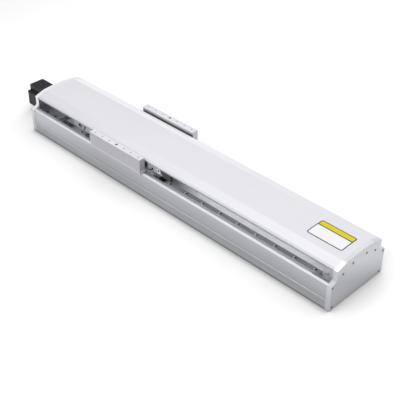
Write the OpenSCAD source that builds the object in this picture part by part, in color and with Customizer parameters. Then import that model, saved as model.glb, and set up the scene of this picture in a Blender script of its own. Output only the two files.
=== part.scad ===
// Belt driven linear axis: wide covered body, side bars on a carriage that runs on two rails.
// Frame: origin at the centre of the body's underside, +X towards the idle end,
// -X towards the motor, +Z up. The body's two long sides are alike.

/* [Body] */
// Length over both end plates
axis_l = 1100; // [1000:10:1600]
// Width over the lower band of the side walls
body_w = 200; // [199:1:206]
// Height of the side walls
wall_h = 73; // [71:0.5:73.5]
// Thickness of a side wall at its top
wall_t = 15.5; // [14:0.5:16.5]
// Height of the small step between the two bands of a side wall
band_z = 28.5; // [20:0.5:45]
// Depth of that step
band_step = 1.2; // [0.6:0.1:1.5]
// Thickness of the floor
floor_t = 10; // [8:0.5:11]
// Width of the channel along the middle of the floor
channel_w = 52; // [48:1:56]
// Thickness of each end plate
end_plate_t = 12; // [11:0.5:20]
// Slope of the end plate's shoulder, in degrees
shoulder_angle = 23.4; // [20:0.2:26]
// Radius of the hollow corner above the shoulder
shoulder_r = 5; // [3:0.5:6]
// Distance between the mounting holes along the body
base_pitch = 200; // [150:10:250]
// Distance between the two rows of mounting holes
base_gauge = 140; // [130:2:150]

/* [Cover] */
// Height of the cover's crown above the underside
cover_top = 120; // [118:0.5:130]
// Width over the necks of the end plates, just inside the cover's lips
cover_w = 162.8; // [160:0.2:165]
// Wall of the cover
cover_t = 3; // [2:0.25:4]
// Height of the upright edge along each side of the cover
edge_h = 5; // [3:0.5:6]
// Width of the crowned top
flat_w = 104; // [90:2:120]
// Height of the crown over the edges of the top
crown_rise = 3; // [2:0.5:5]
// Drop of the sloped band beside the top
slope_drop = 9.5; // [6:0.5:11]
// Overhang of the drip lip along the cover's edge
lip = 1.2; // [0.6:0.1:1.5]
// Distance between the two screw channels under the cover
channel_gauge = 51; // [44:1:60]

/* [Rails] */
// Width of a rail
rail_w = 15; // [14.5:0.5:16]
// Height of a rail
rail_h = 15; // [14:0.5:16]
// Distance between the two rails
rail_gauge = 130; // [128:1:131]
// Pitch of the rail screws
rail_pitch = 60; // [50:5:80]
// Distance from a rail's idle end to its last screw
rail_end = 15; // [12:1:28]
// Width of a guide block
block_w = 34; // [32:1:35]
// Height from the rail's seat to the block's top
block_h = 28; // [27:0.5:28.5]
// Length of a guide block with its end caps
block_l = 61.4; // [58:0.2:66]
// Length of one end cap
cap_l = 11; // [9:0.5:12]
// Pitch of the four threaded holes in a block, both ways
block_pitch = 26; // [24:0.5:26.5]

/* [Carriage] */
// Free travel from rest towards the motor
rest_offset = 126; // [66:5:306]
// Length of the carriage table
table_l = 255; // [245:1:270]
// Thickness of the table inside the cover
table_t = 14; // [13:0.5:15]
// Thickness of the arms that pass under the cover's edges
arm_t = 9.5; // [9:0.25:9.75]
// Distance between the centres of the guide blocks along the table
block_span = 250; // [240:1:260]
// Length of a side bar
bar_l = 200; // [190:2:220]
// Width of a side bar
bar_w = 18; // [17:0.5:20]
// Height of the side bars' top above the underside
bar_top = 118.8; // [116:0.2:125]
// Gap between the cover's lip and a side bar
bar_gap = 5.5; // [5:0.5:7]
// Pitch of the threaded holes in a side bar's top
bar_pitch = 28.5; // [26:0.5:30]
// Diameter of a threaded hole's core in a side bar
bar_tap_d = 4.2; // [4:0.1:6.8]
// Diameter of the locating hole in the middle of a side bar
bar_dowel_d = 8; // [6:0.5:10]

/* [Drive] */
// Width of the belt
belt_w = 25; // [20:1:26]
// Pitch of the belt's teeth
belt_pitch = 10; // [9.5:0.1:10]
// Thickness of the belt behind its teeth
belt_back = 2; // [1.6:0.1:2.4]
// Number of teeth of each pulley
pulley_teeth = 12; // [11:1:12]
// Height of the shaft axes above the underside
drive_z = 46; // [45:0.5:47]
// Module of the bevel gears
gear_module = 1.5; // [1.5:0.01:1.55]
// Number of teeth of the wheel on the drive shaft
wheel_teeth = 38; // [36:1:38]
// Number of teeth of the pinion on the motor shaft
pinion_teeth = 26; // [24:1:26]
// Diameter of the shafts
shaft_d = 12; // [11:0.5:13]
// Outer diameter of the shaft bearings
bearing_d = 24; // [22:0.5:26]
// Width of the shaft bearings
bearing_w = 6; // [5:0.5:7]
// Length of a rubber bumper
bumper_l = 36; // [25:1:45]

/* [Motor] */
// Width of the motor body
motor_w = 67; // [62:1:70]
// Height of the motor body
motor_h = 50; // [46:1:54]
// Length of the motor behind the end plate
motor_l = 110; // [95:5:160]
// Width of the terminal box on the motor
box_w = 48; // [40:1:54]
// Height of the terminal box on the motor
box_h = 17.5; // [8:0.5:20]

/* [Hidden] */
$fn = 48;
slip = 0.3;       // air between pieces that move past each other
fit = 0.02;       // air round a screw or a ring in its hole
run_fit = 0.05;   // air round a turning shaft in its bearing
cut = 1;          // how far a cutter reaches past the face it cuts
side_x = [-1, 1];
side_y = [-1, 1];

// Body
half_w = body_w / 2;
inner_x = axis_l / 2 - end_plate_t;
wall_y = half_w - wall_t;
edge_chamfer = 2;
top_r = 2.5;
groove_w = 1.4;
groove_h = 3;
skirt_y = cover_w / 2;
edge_z = cover_top - crown_rise - slope_drop;
slope_angle = atan2(slope_drop, skirt_y + lip - flat_w / 2);
crown_r = (pow(flat_w / 2, 2) + pow(crown_rise, 2)) / (2 * crown_rise);
table_z = wall_h + 2;                 // underside of the carriage table
rail_z = table_z - block_h;           // seat of the rails
rail_y = rail_gauge / 2;
plate_screw_d = 4;
plate_tap_d = plate_screw_d - 0.7;
channel_z = 100;
channel_web = cover_top - cover_t / 2 - pow(channel_gauge / 2, 2) / (2 * crown_r);
wall_screw_y = half_w - 5.5;
wall_screw_z = wall_h - 6;
foot_screw_y = half_w - 11;
foot_screw_z = 7.5;
bracket_y = rail_y - 5;
bracket_z = wall_h + 15;
foot_screws = [[foot_screw_y, foot_screw_z], [wall_screw_y, wall_screw_z]];
top_screws = [[channel_gauge / 2, channel_z], [bracket_y, bracket_z]];
base_tap_d = 6.8;
base_holes = floor((inner_x - 20) / base_pitch - 0.5);

// Drive
pitch_r = pulley_teeth * belt_pitch / (2 * PI);
tip_r = pitch_r - 0.93;
tooth_h = 2.5;
land_r = tip_r + slip;
belt_r = land_r + belt_back;
wheel_r = gear_module * wheel_teeth / 2;
pinion_r = gear_module * pinion_teeth / 2;
gear_face = 0.226;                    // share of the cone that the teeth cover
gear_room = wheel_r + gear_module + 5;
drive_x = -inner_x + gear_room;
housing_front = drive_x + gear_room + 5;
housing_w = 86;
housing_bolt_dx = 18;
pocket_y = housing_w / 2 + slip;
housing_top = 90;
foot_top = rail_z + rail_h - 2;
foot_w = 2 * wall_y - 3;
idle_x = inner_x - 30;
idler_front = idle_x - 29;
tension_y = 21;
tension_d = 5;
bore_r = bearing_d / 2 + fit;
shaft_r = shaft_d / 2;
bearing_lo = -pinion_r - 8.5;
bearing_hi = belt_w / 2 + 4.5;
pinion_pocket = pinion_r + gear_module + 1;
cavity_z = [drive_z - wheel_r - gear_module - 1, drive_z + wheel_r + gear_module + 1];

// Rails
rail_x0 = housing_front + 10;
rail_x1 = inner_x - 44;
rail_count = floor((rail_x1 - rail_x0 - rail_end - 12) / rail_pitch) + 1;
rail_bolt_d = 4;
rail_head_d = 7;
rail_head_h = 4;

// Carriage
carriage_x = housing_front + bumper_l + 0.4 + table_l / 2 + rest_offset;
table_w = 2 * (skirt_y - cover_t) - 8;
table_top = table_z + table_t;
arm_top = table_z + arm_t;
block_head_top = table_top - 2;
block_head_d = 7;
block_screw_x = block_span / 2 - block_pitch / 2;
bar_in = skirt_y + lip + bar_gap;
bar_out = bar_in + bar_w;
tongue_y = bar_out - 6;
bar_hole_y = bar_in + bar_w / 2;
bar_screw_d = 5;
block_body_l = block_l - 2 * cap_l;
block_z = rail_z + 4.3;
bumper_y = 32;
bumper_z = housing_top - 8;
belt_top = drive_z + belt_r;
clamp_l = 44;
clamp_w = 46;
clamp_x = 55;
jaw_top = drive_z + land_r - tooth_h - slip;
jaw_z = jaw_top - 8;
wiper_y = [skirt_y - 4, skirt_y];
wiper_z = [wall_h + 13, edge_z - edge_h - slip];
lug_l = 10.5;
lug_y = table_w / 2 - 4.4;
lug_top = table_top + 9;
corner_plate_in = 23.5;               // reach of a corner plate along the table
corner_plate_out = 74;                // its reach past the table, motor side
wiper_tip = [37, 25];                 // reach of a wiper's bracket past the table, below and above
wiper_end = [66, 64];                 // the same for the wiper itself
wiper_screw_x = table_l / 2 - lug_l / 2;
wiper_screw_z = lug_top - 5;

// A profile drawn across the axis, extruded from x0 over the length len
module along_x(x0, len) {
    translate([x0, 0, 0]) rotate([90, 0, 90]) linear_extrude(len) children();
}

// A profile drawn in X and Z, extruded from y0 over the width w
module along_y(y0, w) {
    translate([0, y0 + w, 0]) rotate([90, 0, 0]) linear_extrude(w) children();
}

// Cylinders along X and Y that start at the given point
module rod_x(x, y, z, d, len) {
    translate([x, y, z]) rotate([0, 90, 0]) cylinder(d = d, h = len);
}
module rod_y(x, y, z, d, len) {
    translate([x, y, z]) rotate([-90, 0, 0]) cylinder(d = d, h = len);
}

// A cylinder screw with a hex socket; its head stands on z = 0 and its shank reaches down
module cap_screw(d, len, head_d, head_h) {
    difference() {
        union() {
            cylinder(d = head_d, h = head_h);
            translate([0, 0, -len]) cylinder(d = d, h = len + 0.01);
        }
        translate([0, 0, head_h * 0.45]) cylinder(d = d * 1.1, h = head_h, $fn = 6);
    }
}

// Points along an arc
function arc(cy, cz, r, a0, a1, n) =
    [for (i = [0:n]) let (a = a0 + (a1 - a0) * i / n) [cy + r * cos(a), cz + r * sin(a)]];
// The same points on the other side of the middle plane, in reverse order
function flipped(pts) = [for (i = [len(pts) - 1:-1:0]) [-pts[i][0], pts[i][1]]];
function both(pts) = concat(pts, flipped(pts));
// The same where the last point lies on the middle plane
function mirrored(pts) = concat(pts, flipped([for (i = [0:len(pts) - 2]) pts[i]]));

// Hollow corner of the shoulder: centre of its arc
corner_y = skirt_y + shoulder_r;
shoulder_y = half_w - band_step;
corner_z = wall_h + (shoulder_r - (corner_y - shoulder_y) * sin(shoulder_angle)) / cos(shoulder_angle);

// Height of the sloped bands' line over the middle plane; the crown cuts them off below it
slope_peak = edge_z + (skirt_y + lip) * tan(slope_angle);

// Edge of the cover, from its lip up to where both sloped bands would meet
cover_edge = [
    [skirt_y, edge_z - edge_h],
    [skirt_y + lip, edge_z - edge_h + lip / 2],
    [skirt_y + lip, edge_z],
    [0, slope_peak]
];

// A profile trimmed by the crown, whose top stands at z
module crowned(r, z) {
    intersection() {
        children();
        translate([0, z - r]) circle(r, $fn = 720);
    }
}

module cover_outline() {
    crowned(crown_r, cover_top) polygon(mirrored(cover_edge));
}

module cover_inside() {
    iy = skirt_y + lip - cover_t;
    drop = cover_t / cos(slope_angle);
    crowned(crown_r - cover_t, cover_top - cover_t) polygon(mirrored([
        [iy, edge_z - edge_h - cut],
        [iy, slope_peak - drop - iy * tan(slope_angle)],
        [0, slope_peak - drop]
    ]));
}

// ---------------------------------------------------------------- body

module wall_chamber(y0, y1, z0, z1) {
    for (s = side_y) translate([s > 0 ? y0 : -y1, z0]) square([y1 - y0, z1 - z0]);
}

module base_profile() {
    ledge_y = channel_w / 2;
    top_grooves = [for (y = [half_w - 9.5, half_w - 12.8]) [[y, wall_h], [y, wall_h - groove_h],
        [y - groove_w, wall_h - groove_h], [y - groove_w, wall_h]]];
    difference() {
        polygon(both(concat(
            [[half_w - edge_chamfer, 0], [half_w, edge_chamfer], [half_w, band_z],
             [half_w - band_step, band_z + band_step]],
            arc(half_w - band_step - top_r, wall_h - top_r, top_r, 0, 90, 5),
            top_grooves[0], top_grooves[1],
            [[wall_y, wall_h], [wall_y, rail_z], [ledge_y, rail_z], [ledge_y, floor_t]])));
        // hollow chambers of the extrusion
        wall_chamber(ledge_y + 5, pocket_y - 4, floor_t + 2, rail_z - 6);
        wall_chamber(pocket_y + 4, rail_y - 7, floor_t, rail_z - 6);
        wall_chamber(rail_y - 3, rail_y + 3, floor_t, rail_z - 14);
        wall_chamber(rail_y + 7, wall_y - 3, floor_t, rail_z - 6);
        wall_chamber(wall_y + 3, half_w - 5, foot_screw_z + 8, wall_h - 13);
        // relief along the middle of the underside
        translate([-pocket_y + 6, -cut]) square([2 * pocket_y - 12, cut + 1.5]);
    }
}

module base_extrusion() color([0.70, 0.70, 0.73]) difference() {
    along_x(-inner_x, 2 * inner_x) base_profile();
    for (sx = side_x, sy = side_y, p = foot_screws)
        rod_x(sx > 0 ? inner_x - 25 : -inner_x - cut, sy * p[0], p[1], plate_tap_d, 25 + cut);
    for (sy = side_y, i = [0:rail_count - 1])
        translate([rail_x1 - rail_end - i * rail_pitch, sy * rail_y, rail_z - 12])
            cylinder(d = rail_bolt_d + 2 * fit, h = 12 + cut);
    for (sx = side_x, sy = side_y, i = [0:base_holes])
        translate([sx * (i + 0.5) * base_pitch, sy * base_gauge / 2, -cut])
            cylinder(d = base_tap_d, h = floor_t + 2 * cut);
    for (p = housing_bolts()) translate([p[0], p[1], rail_z - 5 - cut])
        cylinder(d = 6 + 2 * fit, h = 6 + 2 * cut);
    for (p = idler_bolts()) translate([p[0], p[1], -cut])
        cylinder(d = 6 + 2 * fit, h = floor_t + 2 * cut);
    // pockets for the two housings
    translate([-inner_x - cut, -pocket_y, floor_t])
        cube([housing_front + inner_x + slip + cut, 2 * pocket_y, rail_z - floor_t + cut]);
    translate([idler_front - slip, -pocket_y, floor_t])
        cube([inner_x - idler_front + slip + cut, 2 * pocket_y, rail_z - floor_t + cut]);
}

module top_cover() color([0.93, 0.93, 0.95]) difference() {
    along_x(-inner_x, 2 * inner_x) union() {
        difference() {
            cover_outline();
            cover_inside();
        }
        // screw channels that hang from the crown on a web
        for (s = side_y) translate([s * channel_gauge / 2, 0]) {
            translate([0, channel_z]) circle(d = 8.4);
            translate([-1.5, channel_z]) square([3, channel_web - channel_z]);
        }
    }
    for (sx = side_x, s = side_y)
        rod_x(sx > 0 ? inner_x - 20 : -inner_x - cut, s * channel_gauge / 2, channel_z,
              plate_tap_d, 20 + cut);
}

module end_plate_outline() {
    crowned(crown_r, cover_top) polygon(mirrored(concat(
        [[half_w - edge_chamfer, 0], [half_w, edge_chamfer]],
        arc(half_w - 3, wall_h - 3, 3, 0, 90 - shoulder_angle, 4),
        arc(corner_y, corner_z, shoulder_r, 270 - shoulder_angle, 180, 6),
        cover_edge)));
}

// A plate with countersunk seats for its screws; sx gives the side that its outer face looks to
module end_plate(sx) {
    x0 = sx > 0 ? inner_x : -inner_x - end_plate_t;
    x_out = sx * (inner_x + end_plate_t);
    difference() {
        along_x(x0, end_plate_t) end_plate_outline();
        for (sy = side_y, p = concat(foot_screws, top_screws)) {
            rod_x(x0 - cut, sy * p[0], p[1], plate_screw_d + 2 * fit, end_plate_t + 2 * cut);
            rod_x(sx > 0 ? x_out - 4.5 : x_out - cut, sy * p[0], p[1], 7.4, 4.5 + cut);
        }
    }
}

module drive_end_plate() color([0.86, 0.86, 0.88]) difference() {
    end_plate(-1);
    rod_x(-inner_x - end_plate_t - cut, 0, drive_z, bearing_d + 2 * fit, end_plate_t + 2 * cut);
    for (p = motor_bolts())
        rod_x(-inner_x - end_plate_t - cut, p[0], p[1], 5 + 2 * fit, end_plate_t - 3 + cut);
}

module idle_end_plate() color([0.86, 0.86, 0.88]) end_plate(1);

module end_plate_screws() color([0.35, 0.35, 0.37])
    for (sx = side_x, sy = side_y, p = concat(foot_screws, top_screws))
        translate([sx * (inner_x + end_plate_t - 4.5), sy * p[0], p[1]]) rotate([0, sx * 90, 0])
            cap_screw(plate_screw_d - 0.7 - 2 * fit, end_plate_t + 7, 7, 4);

// Blocks that carry the cover's sides beside an end plate
module brackets(sx) for (sy = side_y) difference() {
    iy = skirt_y + lip - cover_t - fit;
    low_y = bracket_y - 7;
    under = slope_peak - (cover_t + fit) / cos(slope_angle);
    along_x(sx > 0 ? inner_x - 12 : -inner_x, 12) mirror([sy < 0 ? 1 : 0, 0]) polygon([
        [low_y, table_z], [iy, table_z],
        [iy, under - iy * tan(slope_angle)], [low_y, under - low_y * tan(slope_angle)]
    ]);
    rod_x(sx > 0 ? inner_x - 12 - cut : -inner_x - cut, sy * bracket_y, bracket_z,
          plate_tap_d, 12 + 2 * cut);
}

module drive_cover_brackets() color([0.33, 0.35, 0.38]) brackets(-1);
module idle_cover_brackets() color([0.60, 0.60, 0.62]) brackets(1);

// ---------------------------------------------------------------- rails

module rail_profile() {
    hw = rail_w / 2;
    translate([0, rail_z]) polygon(both([
        [hw - 0.8, 0], [hw, 0.8], [hw, rail_h * 0.30], [hw - 1.6, rail_h * 0.42],
        [hw - 1.6, rail_h * 0.62], [hw, rail_h * 0.72], [hw, rail_h - 0.8], [hw - 0.8, rail_h]
    ]));
}

module rail(sy) difference() {
    along_x(rail_x0, rail_x1 - rail_x0) translate([sy * rail_y, 0]) rail_profile();
    for (i = [0:rail_count - 1]) translate([rail_x1 - rail_end - i * rail_pitch, sy * rail_y, 0]) {
        translate([0, 0, rail_z - cut]) cylinder(d = rail_bolt_d + 0.5, h = rail_h + 2 * cut);
        translate([0, 0, rail_z + rail_h - 5.3]) cylinder(d = rail_head_d + 0.5, h = 5.3 + cut);
    }
}

module front_rail() color([0.46, 0.47, 0.49]) rail(-1);
module rear_rail() color([0.46, 0.47, 0.49]) rail(1);

module rail_screws() color([0.2, 0.2, 0.2]) for (sy = side_y, i = [0:rail_count - 1])
    translate([rail_x1 - rail_end - i * rail_pitch, sy * rail_y, rail_z + rail_h - 5.3])
        cap_screw(rail_bolt_d, rail_h - 5.3 + 10, rail_head_d, rail_head_h);

// ---------------------------------------------------------------- drive end

function housing_bolts() =
    [for (sx = side_x, sy = side_y)
        [(housing_front - inner_x) / 2 + sx * housing_bolt_dx, sy * (rail_y + 1)]];
function motor_bolts() = [for (a = side_y, b = side_y) [a * 25, drive_z + b * 25]];

module housing_profile() {
    hw = housing_w / 2;
    fw = foot_w / 2;
    polygon(both([
        [hw, floor_t], [hw, rail_z], [fw, rail_z], [fw, foot_top - 3], [fw - 3, foot_top],
        [hw + 4, foot_top], [hw, foot_top + 4], [hw, housing_top - 6], [hw - 6, housing_top]
    ]));
}

// Bearing block of the drive: open towards the end plate, slots for the belt in front
module drive_housing() color([0.33, 0.35, 0.38]) difference() {
    along_x(-inner_x, housing_front + inner_x) housing_profile();
    translate([-inner_x - cut, bearing_lo, cavity_z[0]])
        cube([2 * gear_room - 5 + cut, bearing_hi - bearing_lo, cavity_z[1] - cavity_z[0]]);
    translate([-inner_x - cut, -pinion_pocket, drive_z - pinion_pocket])
        cube([gear_room - bearing_d / 2 - 6 + cut, 2 * pinion_pocket, 2 * pinion_pocket]);
    for (s = side_y)
        translate([drive_x, -belt_w / 2 - 1, drive_z + s * (tip_r + 0.5) - 4.5])
            cube([housing_front - drive_x + cut, belt_w + 2, 9]);
    rod_y(drive_x, -housing_w / 2 - cut, drive_z, 2 * bore_r, housing_w + 2 * cut);
    for (p = housing_bolts()) translate([p[0], p[1], rail_z - cut]) {
        cylinder(d = 6.6, h = foot_top - rail_z + 2 * cut);
        translate([0, 0, foot_top - rail_z - 4 + cut]) cylinder(d = 10.6, h = 4 + cut);
    }
    for (s = side_y)
        rod_x(housing_front - 12, s * bumper_y, bumper_z, 6, 12 + cut);
}

module drive_housing_screws() color([0.72, 0.72, 0.74]) for (p = housing_bolts())
    translate([p[0], p[1], foot_top - 4]) cap_screw(6, foot_top - rail_z + 0.5, 10, 6);

// A sealed ball bearing, drawn along Z from z = 0
module bearing() {
    r0 = shaft_r + fit;
    r1 = bearing_d / 2;
    rotate_extrude($fn = 64) polygon([
        [r0, 0], [r0 + 1.6, 0], [r0 + 1.6, 0.5], [r1 - 1.6, 0.5], [r1 - 1.6, 0], [r1, 0],
        [r1, bearing_w], [r1 - 1.6, bearing_w], [r1 - 1.6, bearing_w - 0.5],
        [r0 + 1.6, bearing_w - 0.5], [r0 + 1.6, bearing_w], [r0, bearing_w]
    ]);
}

module bearing_y(x, y) translate([x, y, drive_z]) rotate([-90, 0, 0]) bearing();

module drive_bearings() color([0.75, 0.75, 0.77]) {
    bearing_y(drive_x, bearing_lo - bearing_w);
    bearing_y(drive_x, bearing_hi);
}

// Round plugs that close the two shaft bores of the drive housing
module bearing_caps() color([0.33, 0.35, 0.38]) for (s = side_y) {
    inner = s > 0 ? bearing_hi + bearing_w : -(bearing_lo - bearing_w);
    len = housing_w / 2 - inner;
    translate([drive_x, s * inner, drive_z]) rotate([-s * 90, 0, 0]) difference() {
        cylinder(d = bearing_d, h = len);
        translate([0, 0, -cut]) cylinder(d = bearing_d - 4, h = 2 + cut);
    }
}

module input_bearings() color([0.75, 0.75, 0.77]) for (x = [-inner_x - bearing_w, -inner_x - end_plate_t])
    translate([x, 0, drive_z]) rotate([0, 90, 0]) bearing();

module drive_shaft() color([0.66, 0.66, 0.68]) difference() {
    len = bearing_hi - bearing_lo + 2 * bearing_w;
    rod_y(drive_x, bearing_lo - bearing_w, drive_z, shaft_d - 2 * run_fit + 2 * fit, len);
    for (y = [bearing_lo - bearing_w - cut, bearing_hi + bearing_w - 4])
        rod_y(drive_x, y, drive_z, 3, 4 + cut);
}

// Toothed pulley with two flanges, drawn along Z and centred on it
function pulley_points() = [
    for (i = [0:pulley_teeth - 1], q = [[0.30, 0], [0.42, 1], [0.58, 1], [0.70, 0]])
        let (a = (i + q[0]) * 360 / pulley_teeth, r = tip_r - q[1] * (tooth_h + 0.1))
            [r * cos(a), r * sin(a)]
];

module pulley(bore) difference() {
    union() {
        translate([0, 0, -belt_w / 2 - 1]) linear_extrude(belt_w + 2) polygon(pulley_points());
        for (s = side_y) translate([0, 0, s * (belt_w / 2 + 1.75) - 0.75])
            cylinder(r = land_r + belt_back + 0.6, h = 1.5);
    }
    translate([0, 0, -belt_w]) cylinder(d = bore, h = 2 * belt_w);
}

module drive_pulley() color([0.80, 0.80, 0.82])
    translate([drive_x, 0, drive_z]) rotate([90, 0, 0]) pulley(shaft_d);

// Bevel gear on Z with the tip of its cone at the origin; the teeth start at z = -apex.
// shift turns the teeth, in parts of one tooth.
module bevel_gear(teeth, r, apex, hub_r, hub_l, bore, shift) {
    tip = r + gear_module * 0.75;
    root = r - gear_module * 1.15;
    function flank(i, f, q) = let (a = (i + f + shift) * 360 / teeth) [q * cos(a), q * sin(a)];
    profile = [for (i = [0:teeth - 1], p = [[-0.27, root], [-0.17, r], [-0.06, tip],
                                            [0.06, tip], [0.17, r], [0.27, root]])
               flank(i, p[0], p[1])];
    difference() {
        union() {
            translate([0, 0, -apex]) linear_extrude(apex * gear_face, scale = 1 - gear_face)
                polygon(profile);
            translate([0, 0, -apex - hub_l]) cylinder(r = hub_r, h = hub_l + 0.01);
        }
        translate([0, 0, -apex - hub_l - cut]) cylinder(d = bore, h = apex + hub_l + cut);
    }
}

// Wheel on the drive shaft, on the -Y side of the pulley; one tooth looks to -X
module drive_bevel_wheel() color([0.55, 0.55, 0.57])
    translate([drive_x, 0, drive_z]) rotate([-90, 0, 0]) rotate([0, 0, 180])
        bevel_gear(wheel_teeth, wheel_r, pinion_r, wheel_r - 9, 7, shaft_d, 0);

// Pinion on the motor shaft; a gap between two teeth looks to -Y
module input_bevel_pinion() color([0.55, 0.55, 0.57])
    translate([drive_x, 0, drive_z]) rotate([0, 90, 0]) rotate([0, 0, -90])
        bevel_gear(pinion_teeth, pinion_r, wheel_r, pinion_r - 5, gear_room - wheel_r - 0.6,
                   shaft_d, 0.5);

module motor_shaft() color([0.66, 0.66, 0.68])
    rod_x(-inner_x - end_plate_t - 5, 0, drive_z, shaft_d - 2 * run_fit + 2 * fit,
          end_plate_t + 5 + gear_room - wheel_r * (1 - gear_face) - 1);

// ---------------------------------------------------------------- belt

// Closed belt: the teeth stand on both straight runs and leave the wraps smooth
module toothed_belt() color([0.10, 0.10, 0.11]) {
    clear = 14;
    run = idle_x - drive_x - 2 * clear;
    count = floor(run / belt_pitch);
    first = (idle_x + drive_x) / 2 - (count - 1) * belt_pitch / 2;
    tooth = [[-3.3, land_r + 0.5], [-3.3, land_r], [-2.2, land_r - tooth_h],
             [2.2, land_r - tooth_h], [3.3, land_r], [3.3, land_r + 0.5]];
    along_y(-belt_w / 2, belt_w) {
        difference() {
            union() {
                for (x = [drive_x, idle_x]) translate([x, drive_z]) circle(belt_r, $fn = 96);
                translate([drive_x, drive_z - belt_r]) square([idle_x - drive_x, 2 * belt_r]);
            }
            for (x = [drive_x, idle_x]) translate([x, drive_z]) circle(land_r, $fn = 96);
            translate([drive_x, drive_z - land_r]) square([idle_x - drive_x, 2 * land_r]);
        }
        for (s = side_y, i = [0:count - 1]) translate([first + i * belt_pitch, drive_z])
            polygon([for (p = tooth) [s * p[0], s * p[1]]]);
    }
}

// ---------------------------------------------------------------- idle end

function idler_bolts() = [for (x = [idler_front + 14, inner_x - 12], sy = side_y)
    [x, sy * (housing_w / 2 - 11)]];

module idler_housing() color([0.33, 0.35, 0.38]) difference() {
    hw = housing_w / 2;
    along_x(idler_front, inner_x - idler_front) polygon(both([
        [hw, floor_t], [hw, housing_top - 6], [hw - 6, housing_top]
    ]));
    translate([idler_front - cut, -belt_w / 2 - 4, drive_z - belt_r - 4])
        cube([inner_x - idler_front + 2 * cut, belt_w + 8, 2 * belt_r + 8]);
    // slots in which the axle moves when the belt is tightened
    for (dx = [-5, 5]) rod_y(idle_x + dx, -hw - cut, drive_z, shaft_d + 2 * fit, housing_w + 2 * cut);
    translate([idle_x - 5, -hw - cut, drive_z - shaft_r - fit])
        cube([10, housing_w + 2 * cut, shaft_d + 2 * fit]);
    for (s = side_y) {
        rod_x(idler_front - cut, s * tension_y, drive_z, tension_d + 2 * fit, idle_x - idler_front);
        rod_x(idler_front - cut, s * bumper_y, bumper_z, 6, 12 + cut);
    }
    for (p = idler_bolts()) translate([p[0], p[1], floor_t - cut]) {
        cylinder(d = 6 + 2 * fit, h = 18 + cut);
    }
}

// Screws from below through the floor
module idler_housing_screws() color([0.3, 0.3, 0.31]) for (p = idler_bolts())
    translate([p[0], p[1], 4.4]) cylinder(d = 6, h = 19);

module idler_axle() color([0.66, 0.66, 0.68]) difference() {
    rod_y(idle_x, -housing_w / 2 + 1, drive_z, shaft_d - 2 * fit, housing_w - 2);
    for (s = side_y) translate([idle_x - shaft_r - cut, s * tension_y - 3.5, drive_z - 3.5])
        cube([cut + 1, 7, 7]);
}

module idler_bearings() color([0.75, 0.75, 0.77]) for (s = side_y)
    bearing_y(idle_x, s > 0 ? belt_w / 2 + 2.5 - bearing_w : -belt_w / 2 - 2.5);

module idler_pulley() color([0.80, 0.80, 0.82])
    translate([idle_x, 0, drive_z]) rotate([90, 0, 0]) pulley(bearing_d + 2 * run_fit);

module tension_screws() color([0.3, 0.3, 0.31]) for (s = side_y)
    translate([idler_front - 6.2, s * tension_y, drive_z]) rotate([0, -90, 0])
        cap_screw(tension_d, idle_x - shaft_r + 1 - idler_front + 6.2 - fit, 8.5, 5);

// Rubber bumpers that stop the table at each end
module bumpers(x, sx) for (s = side_y) translate([x, s * bumper_y, bumper_z]) rotate([0, sx * 90, 0])
    rotate_extrude($fn = 48) polygon([
        [0, -8], [2.9, -8], [2.9, 0], [8, 0], [8, 4], [6.5, 6], [6.5, bumper_l - 4],
        [5, bumper_l], [0, bumper_l]
    ]);

module drive_bumpers() color([0.08, 0.08, 0.08]) bumpers(housing_front, 1);
module idle_bumpers() color([0.08, 0.08, 0.08]) bumpers(idler_front, -1);

// ---------------------------------------------------------------- motor

motor_x = -inner_x - end_plate_t;
flange_t = 6;
rear_t = 24;
motor_z = drive_z - 6.5;
motor_top = motor_z + motor_h / 2;

module motor_section(grow) {
    hw = motor_w / 2 + grow;
    z0 = motor_z - motor_h / 2 - grow;
    z1 = motor_top + grow;
    polygon(both([[hw - 5, z0], [hw, z0 + 5], [hw, z1 - 3], [hw - 3, z1]]));
}

module motor_flange() color([0.13, 0.13, 0.14]) difference() {
    along_x(motor_x - flange_t, flange_t) translate([-33, drive_z - 33]) square([66, 66]);
    rod_x(motor_x - flange_t - cut, 0, drive_z, shaft_d + 2, flange_t + 2 * cut);
    for (p = motor_bolts()) rod_x(motor_x - flange_t - cut, p[0], p[1], 5.5, flange_t + 2 * cut);
}

module motor_body() color([0.10, 0.10, 0.11]) difference() {
    along_x(motor_x - motor_l + rear_t, motor_l - rear_t - flange_t) motor_section(0);
    for (p = motor_bolts()) rod_x(motor_x - flange_t - 9, p[0], p[1], 10, 9 + cut);
}

module motor_rear_cover() color([0.12, 0.12, 0.13])
    along_x(motor_x - motor_l, rear_t) motor_section(0);

module motor_terminal_box() color([0.12, 0.12, 0.13])
    along_x(motor_x - motor_l, motor_l - flange_t - 7) translate([-box_w / 2, motor_top])
        square([box_w, box_h]);

module motor_connectors() color([0.06, 0.06, 0.06])
    for (y = [-14, 0, 14]) translate([motor_x - motor_l - 2, y - 5, motor_z - 6]) cube([2, 10, 12]);

module motor_screws() color([0.3, 0.3, 0.31]) for (p = motor_bolts())
    translate([motor_x - flange_t, p[0], p[1]]) rotate([0, -90, 0])
        cap_screw(5, flange_t + end_plate_t - 4, 8.5, 5);

// ---------------------------------------------------------------- carriage

function block_centres() = [for (sx = side_x, sy = side_y)
    [carriage_x + sx * block_span / 2, sy * rail_y]];
function block_holes(c) = [for (a = side_x, b = side_y)
    [c[0] + a * block_pitch / 2, c[1] + b * block_pitch / 2]];
// The table is held by the two screws of each block that lie nearer the carriage's middle
function block_screw_points() = [for (sx = side_x, sy = side_y, b = side_y)
    [carriage_x + sx * block_screw_x, sy * rail_y + b * block_pitch / 2]];
function bar_screw_x() = [for (q = [-0.425, -0.175, 0.175, 0.425]) carriage_x + q * bar_l];
function clamp_bolts() = [for (sx = side_x, a = side_x, b = side_y)
    [carriage_x + sx * clamp_x + a * 14, b * 18]];

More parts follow.
